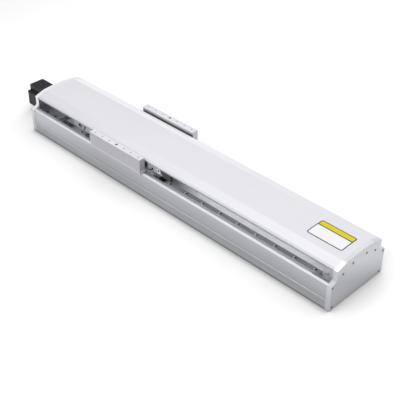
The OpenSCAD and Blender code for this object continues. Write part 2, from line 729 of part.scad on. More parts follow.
module carriage_table() color([0.72, 0.72, 0.74]) difference() {
    union() {
        translate([carriage_x - table_l / 2, -table_w / 2, table_z])
            cube([table_l, table_w, table_t]);
        translate([carriage_x - table_l / 2, -bar_in, table_z])
            cube([table_l, 2 * bar_in, arm_t]);
        translate([carriage_x - bar_l / 2, -tongue_y, table_z])
            cube([bar_l, 2 * tongue_y, arm_t]);
        // lugs that carry the wiper brackets
        for (sx = side_x, sy = side_y) translate([
            carriage_x + (sx > 0 ? table_l / 2 - lug_l : -table_l / 2),
            sy > 0 ? lug_y : -wiper_y[0], arm_top - 1
        ]) cube([lug_l, wiper_y[0] - lug_y, lug_top - arm_top + 1]);
    }
    for (sx = side_x, sy = side_y) {
        rod_y(carriage_x + sx * wiper_screw_x, sy > 0 ? lug_y - cut : -wiper_y[0] - cut, wiper_screw_z,
              2.6, wiper_y[0] - lug_y + 2 * cut);
        rod_y(carriage_x + sx * wiper_screw_x, sy > 0 ? bar_in - 8 : -bar_in - cut, table_z + 4.6,
              4, 8 + cut);
    }
    for (h = block_screw_points()) translate([h[0], h[1], table_z - cut]) {
        cylinder(d = 4.5, h = table_t + 2 * cut);
        translate([0, 0, table_t + cut - 6]) cylinder(d = block_head_d + 2 * slip, h = 6 + cut);
    }
    for (x = bar_screw_x(), sy = side_y) translate([x, sy * (tongue_y - 7), table_z - cut]) {
        cylinder(d = bar_screw_d + 0.5, h = arm_t + 2 * cut);
        cylinder(d = 9, h = cut + 5.3);
    }
    for (p = clamp_bolts()) translate([p[0], p[1], table_z - cut]) {
        cylinder(d = 5.5, h = table_t + 2 * cut);
        translate([0, 0, table_t + cut - 5.5]) cylinder(d = 9, h = 5.5 + cut);
    }
    // weight-saving pockets in the top
    for (sx = side_x) translate([carriage_x + sx * 55 - 26, -table_w / 2 + 38, table_top - 5])
        cube([52, 10, 5 + cut]);
}

module side_bar(sy) difference() {
    top_c = 0.8;
    along_x(carriage_x - bar_l / 2, bar_l) mirror([sy < 0 ? 1 : 0, 0]) polygon([
        [bar_in, arm_top], [bar_in, bar_top - top_c], [bar_in + top_c, bar_top],
        [bar_out - top_c, bar_top], [bar_out, bar_top - top_c], [bar_out, table_z],
        [tongue_y + slip, table_z], [tongue_y + slip, arm_top]
    ]);
    for (i = [-3:3]) translate([carriage_x + i * bar_pitch, sy * bar_hole_y, bar_top - 18])
        cylinder(d = i == 0 ? bar_dowel_d : bar_tap_d, h = 18 + cut);
    for (x = bar_screw_x()) translate([x, sy * (tongue_y - 7), arm_top - cut])
        cylinder(d = bar_screw_d + 2 * fit, h = 12 + cut);
}

module front_side_bar() color([0.86, 0.86, 0.88]) side_bar(-1);
module rear_side_bar() color([0.86, 0.86, 0.88]) side_bar(1);

module side_bar_screws() color([0.3, 0.3, 0.31]) for (x = bar_screw_x(), sy = side_y)
    translate([x, sy * (tongue_y - 7), table_z + 5.3]) rotate([180, 0, 0])
        cap_screw(bar_screw_d, arm_t - 5.3 + 11, 8.5, 4.8);

module block_profile(grow, z0) {
    polygon(concat(
        [[-block_w / 2 - grow, z0 + 3], [-block_w / 2 - grow, table_z - 1.5 + grow],
         [-block_w / 2 + 1.5, table_z + grow], [block_w / 2 - 1.5, table_z + grow],
         [block_w / 2 + grow, table_z - 1.5 + grow], [block_w / 2 + grow, z0 + 3],
         [block_w / 2 - 3, z0]],
        [[rail_w / 2 + slip, z0], [rail_w / 2 + slip, rail_z + rail_h + slip],
         [-rail_w / 2 - slip, rail_z + rail_h + slip], [-rail_w / 2 - slip, z0]],
        [[-block_w / 2 + 3, z0]]));
}

module guide_block(c) difference() {
    union() {
        along_x(c[0] - block_body_l / 2, block_body_l) translate([c[1], 0]) block_profile(0, block_z);
        // raceway lips that reach into the rail's waist
        for (s = side_y) translate([c[0] - block_body_l / 2, c[1] + s * (rail_w / 2 - 0.35) - 0.8,
                                    rail_z + rail_h * 0.46])
            cube([block_body_l, 1.6, rail_h * 0.12]);
    }
    for (h = block_holes(c)) translate([h[0], h[1], table_z - 8]) cylinder(d = 3.4, h = 8 + cut);
}

module front_left_guide_block() color([0.62, 0.63, 0.65]) guide_block(block_centres()[0]);
module rear_left_guide_block() color([0.62, 0.63, 0.65]) guide_block(block_centres()[1]);
module front_right_guide_block() color([0.62, 0.63, 0.65]) guide_block(block_centres()[2]);
module rear_right_guide_block() color([0.62, 0.63, 0.65]) guide_block(block_centres()[3]);

module block_end_caps() color([0.05, 0.05, 0.05]) for (c = block_centres(), s = side_x)
    along_x(s > 0 ? c[0] + block_body_l / 2 : c[0] - block_body_l / 2 - cap_l + 2, cap_l - 2)
        translate([c[1], 0]) block_profile(-0.6, block_z + 0.4);

module block_end_seals() color([0.12, 0.12, 0.12]) for (c = block_centres(), s = side_x)
    along_x(s > 0 ? c[0] + block_l / 2 - 2 : c[0] - block_l / 2, 2)
        translate([c[1], 0]) block_profile(-1.2, block_z + 0.8);

module grease_nipples() color([0.75, 0.65, 0.35]) for (c = block_centres()) {
    s = c[0] > carriage_x ? 1 : -1;
    translate([c[0] + s * block_l / 2, c[1], rail_z + rail_h + 6]) rotate([0, s * 90, 0])
        rotate_extrude($fn = 32) polygon([[0, 0], [2.6, 0], [2.6, 2], [1.4, 3], [1.8, 4.4],
                                          [1, 5.6], [0, 5.6]]);
}

module block_screws() color([0.25, 0.25, 0.26]) for (h = block_screw_points())
    translate([h[0], h[1], block_head_top - 4])
        cap_screw(3.4 - 2 * fit, table_t - 6 + 7, block_head_d, 4);

// Upper clamp pieces between the table and the belt's back
module belt_clamp_blocks() color([0.60, 0.61, 0.63]) for (sx = side_x) difference() {
    translate([carriage_x + sx * clamp_x - clamp_l / 2, -clamp_w / 2, jaw_top])
        cube([clamp_l, clamp_w, table_z - jaw_top]);
    translate([carriage_x + sx * clamp_x - clamp_l / 2 - cut, -belt_w / 2 - slip, jaw_top - cut])
        cube([clamp_l + 2 * cut, belt_w + 2 * slip, belt_top + slip - jaw_top + cut]);
    for (p = clamp_bolts()) translate([p[0], p[1], jaw_top - cut])
        cylinder(d = 5 + 2 * fit, h = table_z - jaw_top + 2 * cut);
}

// Toothed jaws below the belt
module belt_clamp_jaws() color([0.55, 0.56, 0.58]) for (sx = side_x) difference() {
    translate([carriage_x + sx * clamp_x - clamp_l / 2, -clamp_w / 2, jaw_z])
        cube([clamp_l, clamp_w, jaw_top - jaw_z]);
    for (p = clamp_bolts()) translate([p[0], p[1], jaw_z - cut])
        cylinder(d = 5 + 2 * fit, h = jaw_top - jaw_z + 2 * cut);
}

module belt_clamp_screws() color([0.25, 0.25, 0.26]) for (p = clamp_bolts())
    translate([p[0], p[1], table_top - 5.5]) cap_screw(5, table_top - 5.5 - jaw_z, 8.5, 5);

// A plate beside the table's corner; its outline is given for the corner at +X and -Y.
// Its foot stands on the arm, past the heads of the block screws
module corner_plate(sx, sy, tip) {
    foot = table_l / 2 - lug_l;
    inner = table_l / 2 - corner_plate_in;
    translate([carriage_x, 0, 0]) mirror([sx < 0 ? 1 : 0, 0, 0]) mirror([0, sy > 0 ? 1 : 0, 0])
    difference() {
        along_y(-wiper_y[1], wiper_y[1] - wiper_y[0]) polygon(concat([
            [inner, block_head_top + slip], [foot, block_head_top + slip],
            [foot, arm_top], [table_l / 2, arm_top], [table_l / 2, wiper_z[0]]
        ], tip, [[inner, wiper_z[1]]]));
        rod_y(wiper_screw_x, -wiper_y[1] - cut, wiper_screw_z, 2.6, 4 + 2 * cut);
        rod_y(inner + 9, -wiper_y[1] - cut, wiper_z[0] + 5, 4, 4 + 2 * cut);
        translate([block_screw_x, -rail_y - block_pitch / 2, arm_top - cut])
            cylinder(d = block_head_d + 2 * slip, h = block_head_top + slip / 2 - arm_top + cut);
        children();
    }
}

// Idle side: thin brackets that hold the wipers. Motor side: plates with a round hole and a slot
module wiper_brackets() color([0.66, 0.67, 0.69]) for (sy = side_y) {
    corner_plate(1, sy, [[table_l / 2 + wiper_tip[0], wiper_z[0]],
                          [table_l / 2 + wiper_tip[1], wiper_z[1]]])
        rod_y(table_l / 2 + 19, -wiper_y[1] - cut, wiper_z[1] - 6, 4.4, 4 + 2 * cut);
    corner_plate(-1, sy, [[table_l / 2 + corner_plate_out, wiper_z[0]],
                          [table_l / 2 + corner_plate_out, wiper_z[1]]]) {
        rod_y(table_l / 2 + 45, -wiper_y[1] - cut, wiper_z[1] - 7.5, 12, 4 + 2 * cut);
        along_y(-wiper_y[1] - cut, 4 + 2 * cut) for (t = [0:1])
            translate([table_l / 2 + 25 + t * 4, wiper_z[0] + 5 + t * 6]) circle(d = 4);
    }
}

module wiper_screws() color([0.25, 0.25, 0.26]) for (sx = side_x, sy = side_y)
    translate([carriage_x + sx * wiper_screw_x, sy * wiper_y[1], wiper_screw_z])
        rotate([-sy * 90, 0, 0]) cap_screw(2.6 - 2 * fit, wiper_y[1] - lug_y, 5.4, 3);

module wiper_pads() color([0.06, 0.06, 0.06]) for (sy = side_y)
    translate([carriage_x, 0, 0]) mirror([0, sy > 0 ? 1 : 0, 0])
        along_y(-skirt_y - lip - 0.6, skirt_y + lip + 0.6 - wiper_y[0] + 1) polygon([
            [table_l / 2 + wiper_tip[0] + fit, wiper_z[0]], [table_l / 2 + wiper_end[0], wiper_z[0]],
            [table_l / 2 + wiper_end[1], wiper_z[1]], [table_l / 2 + wiper_tip[1] + fit, wiper_z[1]]
        ]);

base_extrusion();
top_cover();
drive_end_plate();
idle_end_plate();
end_plate_screws();
drive_cover_brackets();
idle_cover_brackets();
front_rail();
rear_rail();
rail_screws();
drive_housing();
drive_housing_screws();
bearing_caps();
drive_bearings();
input_bearings();
drive_shaft();
drive_pulley();
drive_bevel_wheel();
motor_shaft();
input_bevel_pinion();
toothed_belt();
idler_housing();
idler_housing_screws();
idler_axle();
idler_bearings();
idler_pulley();
tension_screws();
drive_bumpers();
idle_bumpers();
motor_flange();
motor_body();
motor_rear_cover();
motor_terminal_box();
motor_connectors();
motor_screws();
carriage_table();
front_side_bar();
rear_side_bar();
side_bar_screws();
front_left_guide_block();
front_right_guide_block();
rear_left_guide_block();
rear_right_guide_block();
block_end_caps();
block_end_seals();
grease_nipples();
block_screws();
belt_clamp_blocks();
belt_clamp_jaws();
belt_clamp_screws();
wiper_brackets();
wiper_pads();
wiper_screws();
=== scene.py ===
"""Looks of a belt driven linear axis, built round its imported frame.

Each sub-assembly is a class that dresses its own nodes and builds its own small pieces. Metres throughout,
+X along the body towards the idle end, +Z up, the body's underside on the floor.
"""

import logging
import math
from dataclasses import dataclass, replace
from enum import Enum
from functools import partial
from typing import ClassVar

import bmesh
import bpy
from mathutils import Matrix, Vector


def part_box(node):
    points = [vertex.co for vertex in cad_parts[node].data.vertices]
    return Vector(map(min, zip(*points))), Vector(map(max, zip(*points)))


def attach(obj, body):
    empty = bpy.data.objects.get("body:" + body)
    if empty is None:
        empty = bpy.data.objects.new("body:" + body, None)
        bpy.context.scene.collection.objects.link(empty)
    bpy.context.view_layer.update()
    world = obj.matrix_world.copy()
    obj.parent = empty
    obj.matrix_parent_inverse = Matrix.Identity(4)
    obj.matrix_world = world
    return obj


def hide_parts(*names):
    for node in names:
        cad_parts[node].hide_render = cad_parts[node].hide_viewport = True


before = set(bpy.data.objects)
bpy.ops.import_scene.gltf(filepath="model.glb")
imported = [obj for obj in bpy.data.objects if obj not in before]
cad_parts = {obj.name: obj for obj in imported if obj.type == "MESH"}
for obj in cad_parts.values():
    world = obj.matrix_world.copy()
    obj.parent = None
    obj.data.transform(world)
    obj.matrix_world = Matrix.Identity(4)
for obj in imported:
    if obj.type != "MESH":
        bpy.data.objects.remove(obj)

log = logging.getLogger("linear_axis")
Colour = tuple[float, float, float]
Place = tuple[float, float, float]
Span = tuple[float, float]
Box = tuple[Vector, Vector]
Socket = bpy.types.NodeSocket


# ---------------- helpers


class Side(Enum):
    """The way a screw's head looks."""

    RIGHT = (1, 0, 0)
    LEFT = (-1, 0, 0)
    UP = (0, 0, 1)

    @property
    def vector(self) -> Vector:
        """Returns the side as a unit vector."""
        return Vector(self.value)


class Grain(Enum):
    """How far a surface's marks are drawn out along each axis, as noise scales per metre."""

    ALONG_X = (3.0, 420.0, 420.0)
    ALONG_Y = (420.0, 3.0, 420.0)
    EVEN = (160.0, 160.0, 160.0)
    COARSE = (60.0, 60.0, 60.0)


def node_box(name: str) -> Box:
    """Gives a CAD node's lowest and highest corner.

    Args:
        name: the node's name.

    Returns:
        Both corners, in metres.
    """
    lo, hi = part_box(name)
    return Vector(lo), Vector(hi)


def solids_of(name: str) -> list[Box]:
    """Finds the separate solids of a CAD node.

    Args:
        name: the node's name.

    Returns:
        The lowest and highest corner of each solid, ordered by place.
    """
    mesh = bmesh.new()
    mesh.from_mesh(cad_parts[name].data)
    bmesh.ops.remove_doubles(mesh, verts=mesh.verts, dist=1e-6)
    left, boxes = set(mesh.verts), []
    while left:
        stack, seen = [left.pop()], []
        while stack:
            vertex = stack.pop()
            seen.append(vertex.co.copy())
            for edge in vertex.link_edges:
                other = edge.other_vert(vertex)
                if other in left:
                    left.remove(other)
                    stack.append(other)
        boxes.append((Vector(map(min, *seen)), Vector(map(max, *seen))))
    mesh.free()
    return sorted(boxes, key=lambda b: tuple(round(v, 5) for v in b[0]))


def into_scene(name: str, data: bpy.types.ID) -> bpy.types.Object:
    """Makes an object and links it into the scene.

    Args:
        name: its name.
        data: its mesh, light or camera.

    Returns:
        The new object.
    """
    made = bpy.data.objects.new(name, data)
    bpy.context.scene.collection.objects.link(made)
    return made


def add_object(name: str, mesh: bpy.types.Mesh, body: str) -> bpy.types.Object:
    """Puts a finished mesh into the scene and rides it on a body.

    Args:
        name: the piece's name.
        mesh: its mesh, with its place in its vertices.
        body: the CAD body that carries it.

    Returns:
        The new object.
    """
    made = into_scene(name, mesh)
    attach(made, body)
    return made


def dress(name: str, material: bpy.types.Material) -> None:
    """Gives a CAD node a material.

    Args:
        name: the node's name.
        material: what its surface is made of.
    """
    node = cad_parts[name]
    for slot in node.material_slots:
        slot.material = material
    if not node.material_slots:
        node.data.materials.append(material)


def feed(tree: bpy.types.NodeTree, socket: Socket, value: object) -> None:
    """Fills a socket.

    Args:
        tree: the tree that the socket is in.
        socket: the socket that takes the value.
        value: another socket, which is linked, or a constant.
    """
    if isinstance(value, Socket):
        tree.links.new(value, socket)
    else:
        socket.default_value = value


def add_node(tree: bpy.types.NodeTree, kind: str, inputs: dict, **values: object) -> bpy.types.Node:
    """Adds a node to a tree.

    Args:
        tree: the tree of a material or of a modifier.
        kind: Blender's name of the node's type.
        inputs: what its sockets take, by their names or numbers.
        **values: properties to set on it.

    Returns:
        The new node.
    """
    made = tree.nodes.new(kind)
    for key, value in values.items():
        setattr(made, key, value)
    for key, value in inputs.items():
        feed(tree, made.inputs[key], value)
    return made


# ---------------- finishes

FULL = (0.0, 1.0)
NOISE_RANGE = (0.3, 0.7)  # nearly all of a noise's values
SOFT_BORDER = 0.0002  # half the width over which a drawn border goes from one side to the other
FLAT_TO_EDGE = (0.995, 0.86)  # the softened normal times the true one, on flat ground and right on an edge
BEVEL_SAMPLES = 6


class Graph:
    """Builds the node tree of one material."""

    def __init__(self, name: str) -> None:
        """Starts an empty material.

        Args:
            name: the material's name.
        """
        self.material = bpy.data.materials.new(name)
        self.material.use_nodes = True
        self.tree = self.material.node_tree
        self.shader = self.tree.nodes["Principled BSDF"]
        self.coordinates = self.node("ShaderNodeTexCoord").outputs["Object"]

    def node(self, kind: str, inputs: dict | None = None, **values: object) -> bpy.types.Node:
        """Adds a node to the material, as add_node does."""
        return add_node(self.tree, kind, inputs or {}, **values)

    def surface(self, inputs: dict[str, object]) -> bpy.types.Material:
        """Feeds the shader.

        Args:
            inputs: what its sockets take, by their names.

        Returns:
            The finished material.
        """
        for key, value in inputs.items():
            feed(self.tree, self.shader.inputs[key], value)
        return self.material

    def noise(self, scale: Place, detail: float = 4.0, rough: float = 0.6) -> Socket:
        """Adds a stretched noise.

        Args:
            scale: how many features a metre holds along each axis.
            detail: how many finer layers it has.
            rough: how strong the finer layers are.

        Returns:
            The noise's value.
        """
        mapping = self.node("ShaderNodeMapping", {"Vector": self.coordinates, "Scale": scale})
        texture = self.node("ShaderNodeTexNoise", {
            "Vector": mapping.outputs["Vector"], "Scale": 1.0, "Detail": detail, "Roughness": rough})
        return texture.outputs["Fac"]

    def remap(self, value: Socket, start: Span, end: Span) -> Socket:
        """Maps one range of a value to another, clamped.

        Args:
            value: what is mapped.
            start: the range that it comes in.
            end: the range that it leaves in.

        Returns:
            The mapped value.
        """
        made = self.node("ShaderNodeMapRange", {
            "Value": value, "From Min": start[0], "From Max": start[1], "To Min": end[0], "To Max": end[1]})
        return made.outputs["Result"]

    def math(self, operation: str, first: object, second: object = 0.0) -> Socket:
        """Adds one sum.

        Args:
            operation: Blender's name of the operation.
            first: the first value.
            second: the second value, where there is one.

        Returns:
            The result.
        """
        return self.node("ShaderNodeMath", {0: first, 1: second}, operation=operation).outputs[0]

    def vectors(self, operation: str, first: object, second: object) -> bpy.types.Node:
        """Adds one sum of two vectors.

        Args:
            operation: Blender's name of the operation.
            first: the first vector.
            second: the second vector.

        Returns:
            The node, as the result is its Vector or its Value.
        """
        return self.node("ShaderNodeVectorMath", {0: first, 1: second}, operation=operation)

    def split(self, vector: Socket) -> tuple[Socket, Socket, Socket]:
        """Takes a vector apart into its X, Y and Z."""
        made = self.node("ShaderNodeSeparateXYZ", {0: vector})
        return made.outputs["X"], made.outputs["Y"], made.outputs["Z"]

    def mix(self, share: object, first: object, second: object) -> Socket:
        """Mixes two colours.

        Args:
            share: how much of the second colour is taken, from 0 to 1.
            first: a colour, or a socket that gives one.
            second: the other colour.

        Returns:
            The mixed colour.
        """
        made = self.node("ShaderNodeMix", {
            "Factor": share,
            6: (*first, 1.0) if isinstance(first, tuple) else first,
            7: (*second, 1.0) if isinstance(second, tuple) else second,
        }, data_type="RGBA")
        return made.outputs[2]

    def edges(self, radius: float) -> tuple[Socket, Socket]:
        """Finds the sharp edges of a surface.

        Args:
            radius: how wide the softened edge is, in metres.

        Returns:
            The softened normal, and how near an edge a point lies, from 0 to 1.
        """
        soft = self.node("ShaderNodeBevel", {"Radius": radius}, samples=BEVEL_SAMPLES).outputs["Normal"]
        true = self.node("ShaderNodeNewGeometry").outputs["Normal"]
        dot = self.vectors("DOT_PRODUCT", soft, true).outputs["Value"]
        return soft, self.remap(dot, FLAT_TO_EDGE, FULL)

    def bump(self, height: Socket, depth: float, normal: Socket) -> Socket:
        """Turns a height into a bumped normal.

        Args:
            height: the height, from 0 to 1.
            depth: what 1 is in metres.
            normal: the normal under the bumps.

        Returns:
            The bumped normal.
        """
        made = self.node("ShaderNodeBump", {
            "Strength": 1.0, "Distance": depth, "Height": height, "Normal": normal})
        return made.outputs["Normal"]


@dataclass(frozen=True)
class Ramp:
    """A share that goes from 0 to 1 as a place, or a normal, goes along a direction."""

    way: Place
    zero: float
    one: float
    normal: bool = False
    both_sides: bool = False

    def share(self, g: Graph) -> Socket:
        """Adds the ramp to a material.

        Args:
            g: the material's tree.

        Returns:
            The share, from 0 to 1.
        """
        taken = g.node("ShaderNodeNewGeometry").outputs["Normal"] if self.normal else g.coordinates
        value = g.vectors("DOT_PRODUCT", taken, self.way).outputs["Value"]
        if self.both_sides:
            value = g.math("ABSOLUTE", value)
        return g.remap(value, (self.zero, self.one), FULL)


@dataclass(frozen=True)
class Disc:
    """A share that is 1 within a radius of a centre, on both sides of the body; along X it can repeat.

    The plane has a 0 for the axis that doesn't count, and a value below 1 draws the disc out along its axis.
    """

    centre: Place
    plane: Place
    radius: float
    pitch: float = 0.0

    def share(self, g: Graph) -> Socket:
        """Adds the disc to a material.

        Args:
            g: the material's tree.

        Returns:
            The share, from 0 to 1.
        """
        x, y, z = g.split(g.coordinates)
        along = g.math("ABSOLUTE", g.math("SUBTRACT", x, self.centre[0]))
        if self.pitch:
            along = g.math("PINGPONG", along, self.pitch / 2)
        apart = g.node("ShaderNodeCombineXYZ", {
            "X": along,
            "Y": g.math("SUBTRACT", g.math("ABSOLUTE", y), self.centre[1]),
            "Z": g.math("SUBTRACT", z, self.centre[2]),
        })
        flat = g.vectors("MULTIPLY", apart.outputs["Vector"], self.plane)
        length = g.node("ShaderNodeVectorMath", {0: flat.outputs["Vector"]}, operation="LENGTH")
        return g.remap(length.outputs["Value"], (self.radius + SOFT_BORDER, self.radius - SOFT_BORDER), FULL)


@dataclass(frozen=True)
class Zone:
    """A part of a surface, where all its ramps are 1, that is painted lighter or darker than the rest:
    painted light and shade.
    """

    gain: float
    ramps: tuple[Ramp | Disc, ...]

    def apply(self, g: Graph, shade: Socket) -> Socket:
        """Adds the zone to a material.

        Args:
            g: the material's tree.
            shade: how light the surface is so far.

        Returns:
            How light the surface is, with this zone.
        """
        share = self.ramps[0].share(g)
        for ramp in self.ramps[1:]:
            share = g.math("MULTIPLY", share, ramp.share(g))
        return g.math("MULTIPLY", shade, g.remap(share, FULL, (1.0, self.gain)))


X, Y, Z = (1.0, 0.0, 0.0), (0.0, 1.0, 0.0), (0.0, 0.0, 1.0)
# Faces, by the way they look; near and far are the slopes of the cover and its plates
LEVEL = Ramp(Z, 0.80, 0.88, normal=True)
UPWARD = Ramp(Z, 0.3, 0.8, normal=True)
UPRIGHT_SIDE = Ramp(Y, 0.6, 0.8, normal=True, both_sides=True)
IDLE_FACE = Ramp(X, 0.8, 0.9, normal=True)
BOTH_END_FACES = Ramp(X, 0.8, 0.9, normal=True, both_sides=True)
NEAR_SLOPE = Ramp((0.0, -1.0, 0.0), 0.20, 0.26, normal=True)
FAR_SLOPE = Ramp(Y, 0.20, 0.26, normal=True)
# Painted shadow: the dark line along the foot of the body and of the drive's end plate
FOOT_SHADOW = Ramp(Z, 0.0062, 0.0046)


@dataclass(frozen=True)
class Marks:
    """The grain and the faint stains of a surface, as shares of its shade, and the stains' size."""

    grain: Grain = Grain.EVEN
    contrast: float = 0.05
    stain: float = 0.04
    stain_size: float = 0.08


@dataclass(frozen=True)
class Edge:
    """How bare and how wide the sharp edges of a surface are."""

    colour: Colour = (0.9, 0.9, 0.9)
    wear: float = 0.3
    radius: float = 0.0006


@dataclass(frozen=True)
class Finish:
    """A surface with grain, faint stains, worn edges, its own gloss, painted light on the faces that look up
    and zones of painted light and shade.
    """

    name: str
    colour: Colour
    metal: float = 0.0
    roughness: float = 0.5
    specular: float = 0.5
    bump: float = 0.00004
    # painted light: how many times lighter the faces that look up are painted
    top_light: float = 1.0
    marks: Marks = Marks()
    edge: Edge = Edge()
    # the zones are painted light and shade, with a few dark discs painted as holes
    zones: tuple[Zone, ...] = ()
    # How the stains and the grain steer the edges' wear and the gloss, alike on every surface
    wear_range: ClassVar[Span] = (0.35, 0.65)
    least_wear: ClassVar[float] = 0.4
    gloss_range: ClassVar[Span] = (0.7, 1.3)
    gloss_spread: ClassVar[float] = 0.12

    def tone(self, g: Graph, shade: Socket) -> Socket:
        """Paints light on the faces that look up, and paints the zones' light and shade.

        Args:
            g: the material's tree.
            shade: how light the surface is so far.

        Returns:
            How light the surface is, with this change.
        """
        up = (Zone(self.top_light, (UPWARD,)),) if self.top_light != 1.0 else ()
        for zone in up + self.zones:
            shade = zone.apply(g, shade)
        return shade

    def build(self) -> bpy.types.Material:
        """Makes the material.

        Returns:
            The finished node material.
        """
        g = Graph(self.name)
        contrast, stain = self.marks.contrast, self.marks.stain
        grain = g.noise(self.marks.grain.value)
        stains = g.noise((1 / self.marks.stain_size,) * 3, detail=3.0)
        shade = self.tone(g, g.math(
            "MULTIPLY",
            g.remap(grain, NOISE_RANGE, (1 - contrast, 1 + contrast)),
            g.remap(stains, NOISE_RANGE, (1 - stain, 1 + stain)),
        ))
        tint = g.node("ShaderNodeVectorMath", {0: self.colour, "Scale": shade}, operation="SCALE")
        normal, near_edge = g.edges(self.edge.radius)
        wear = g.remap(stains, self.wear_range, (self.least_wear * self.edge.wear, self.edge.wear))
        worn = g.math("MULTIPLY", near_edge, wear)
        least, most = self.roughness * (1 - self.gloss_spread), self.roughness * (1 + self.gloss_spread)
        return g.surface({
            "Base Color": g.mix(worn, tint.outputs["Vector"], self.edge.colour),
            "Roughness": g.remap(g.math("ADD", grain, stains), self.gloss_range, (least, most)),
            "Normal": g.bump(grain, self.bump, normal),
            "Metallic": self.metal,
            "Specular IOR Level": self.specular,
        })


@dataclass(frozen=True)
class ExtrusionFinish(Finish):
    """The body's anodised extrusion: drawn streaks, painted shade in the grooves of its tops and painted
    light on its inside.

    The streaks are at their full strength in the lower band of its sides, and weaker above.
    """

    band_z: float = 0.0285
    band_border: float = 0.0003
    streaks: float = 0.14
    streak_scale: Place = (0.8, 0.8, 330.0)
    upper_streaks: float = 0.35
    inside_y: float = 0.0843
    inside_border: float = 0.0001
    # painted light: how many times lighter the inside is painted, in place of the top light
    inside_light: float = 2.9
    grooves: tuple[float, ...] = (0.0865, 0.0898)
    groove_border: Span = (0.0006, 0.0009)
    groove_shade: float = 0.25

    def tone(self, g: Graph, shade: Socket) -> Socket:
        """Adds the streaks, the painted light inside and the painted shade in the grooves.

        Args:
            g: the material's tree.
            shade: how light the surface is so far.

        Returns:
            How light the surface is, with these changes.
        """
        _, y, z = g.split(g.coordinates)
        drawn = g.noise(self.streak_scale, detail=2.0)
        border = (self.band_z - self.band_border, self.band_z + self.band_border)
        strength = g.remap(z, border, (1.0, self.upper_streaks))
        streak = g.math("MULTIPLY", g.remap(drawn, NOISE_RANGE, (-self.streaks, self.streaks)), strength)
        shade = g.math("MULTIPLY", super().tone(g, shade), g.math("ADD", streak, 1.0))
        # painted light on the inside
        across = g.math("ABSOLUTE", y)
        border = (self.inside_y, self.inside_y + self.inside_border)
        shade = g.math("MULTIPLY", shade, g.remap(across, border, (self.inside_light / self.top_light, 1.0)))
        # painted shade in the grooves
        for middle in self.grooves:
            away = g.math("ABSOLUTE", g.math("SUBTRACT", across, middle))
            shade = g.math("MULTIPLY", shade, g.remap(away, self.groove_border, (self.groove_shade, 1.0)))
        return shade


@dataclass(frozen=True)
class BlankPlateFinish:
    """A printed film: a dark rim, a coloured band and a bare field with a rule between them.

    It reads the piece's own UV map, in metres from the plate's centre.
    """

    name: str
    length: float
    width: float
    corner: float
    rim: float = 0.0025
    band: float = 0.0195
    rule_half: float = 0.0015
    rim_colour: Colour = (0.03, 0.03, 0.03)
    band_colour: Colour = (0.55, 0.45, 0.015)
    field_colour: Colour = (0.66, 0.66, 0.67)
    stained_colour: Colour = (0.62, 0.62, 0.62)
    stain: float = 0.12
    stain_scale: Place = (30.0, 30.0, 30.0)
    roughness: Span = (0.28, 0.36)

    def build(self) -> bpy.types.Material:
        """Makes the material.

        Returns:
            The finished node material.
        """
        g = Graph(self.name)
        along, across, _ = g.split(g.node("ShaderNodeUVMap", uv_map="plate").outputs["UV"])
        past = []
        for value, size in ((along, self.length), (across, self.width)):
            out = g.math("SUBTRACT", g.math("ABSOLUTE", value), size / 2 - self.corner)
            past.append(g.math("POWER", g.math("MAXIMUM", out, 0.0), 2.0))
        from_corner = g.math("SQRT", g.math("ADD", *past))
        rim_at, band_at = self.corner - self.rim, self.width / 2 - self.band
        rim = g.remap(from_corner, (rim_at - SOFT_BORDER, rim_at + SOFT_BORDER), FULL)
        band = g.remap(across, (band_at - SOFT_BORDER, band_at + SOFT_BORDER), FULL)
        rule = g.node("ShaderNodeMath", {0: across, 1: band_at, 2: self.rule_half}, operation="COMPARE")
        stains = g.noise(self.stain_scale)
        stained = g.remap(stains, NOISE_RANGE, (0.0, self.stain))
        printed = g.mix(band, g.mix(stained, self.field_colour, self.stained_colour), self.band_colour)
        dark = g.math("MAXIMUM", rim, rule.outputs[0])
        return g.surface({
            "Base Color": g.mix(dark, printed, self.rim_colour),
            "Roughness": g.remap(stains, NOISE_RANGE, self.roughness),
        })


BROKEN_EDGE = Edge((0.98, 0.98, 1.0), wear=0.8, radius=0.0008)
MILLED_EDGE = Edge((0.8, 0.8, 0.82), wear=0.6)
PALE_EDGE = Edge((0.9, 0.9, 0.92), wear=0.5)
FINE_EDGE = 0.0003
COAT = Marks(contrast=0.06, stain=0.06, stain_size=0.05)
TURNED = Marks(Grain.ALONG_Y, contrast=0.03, stain=0.03, stain_size=0.05)

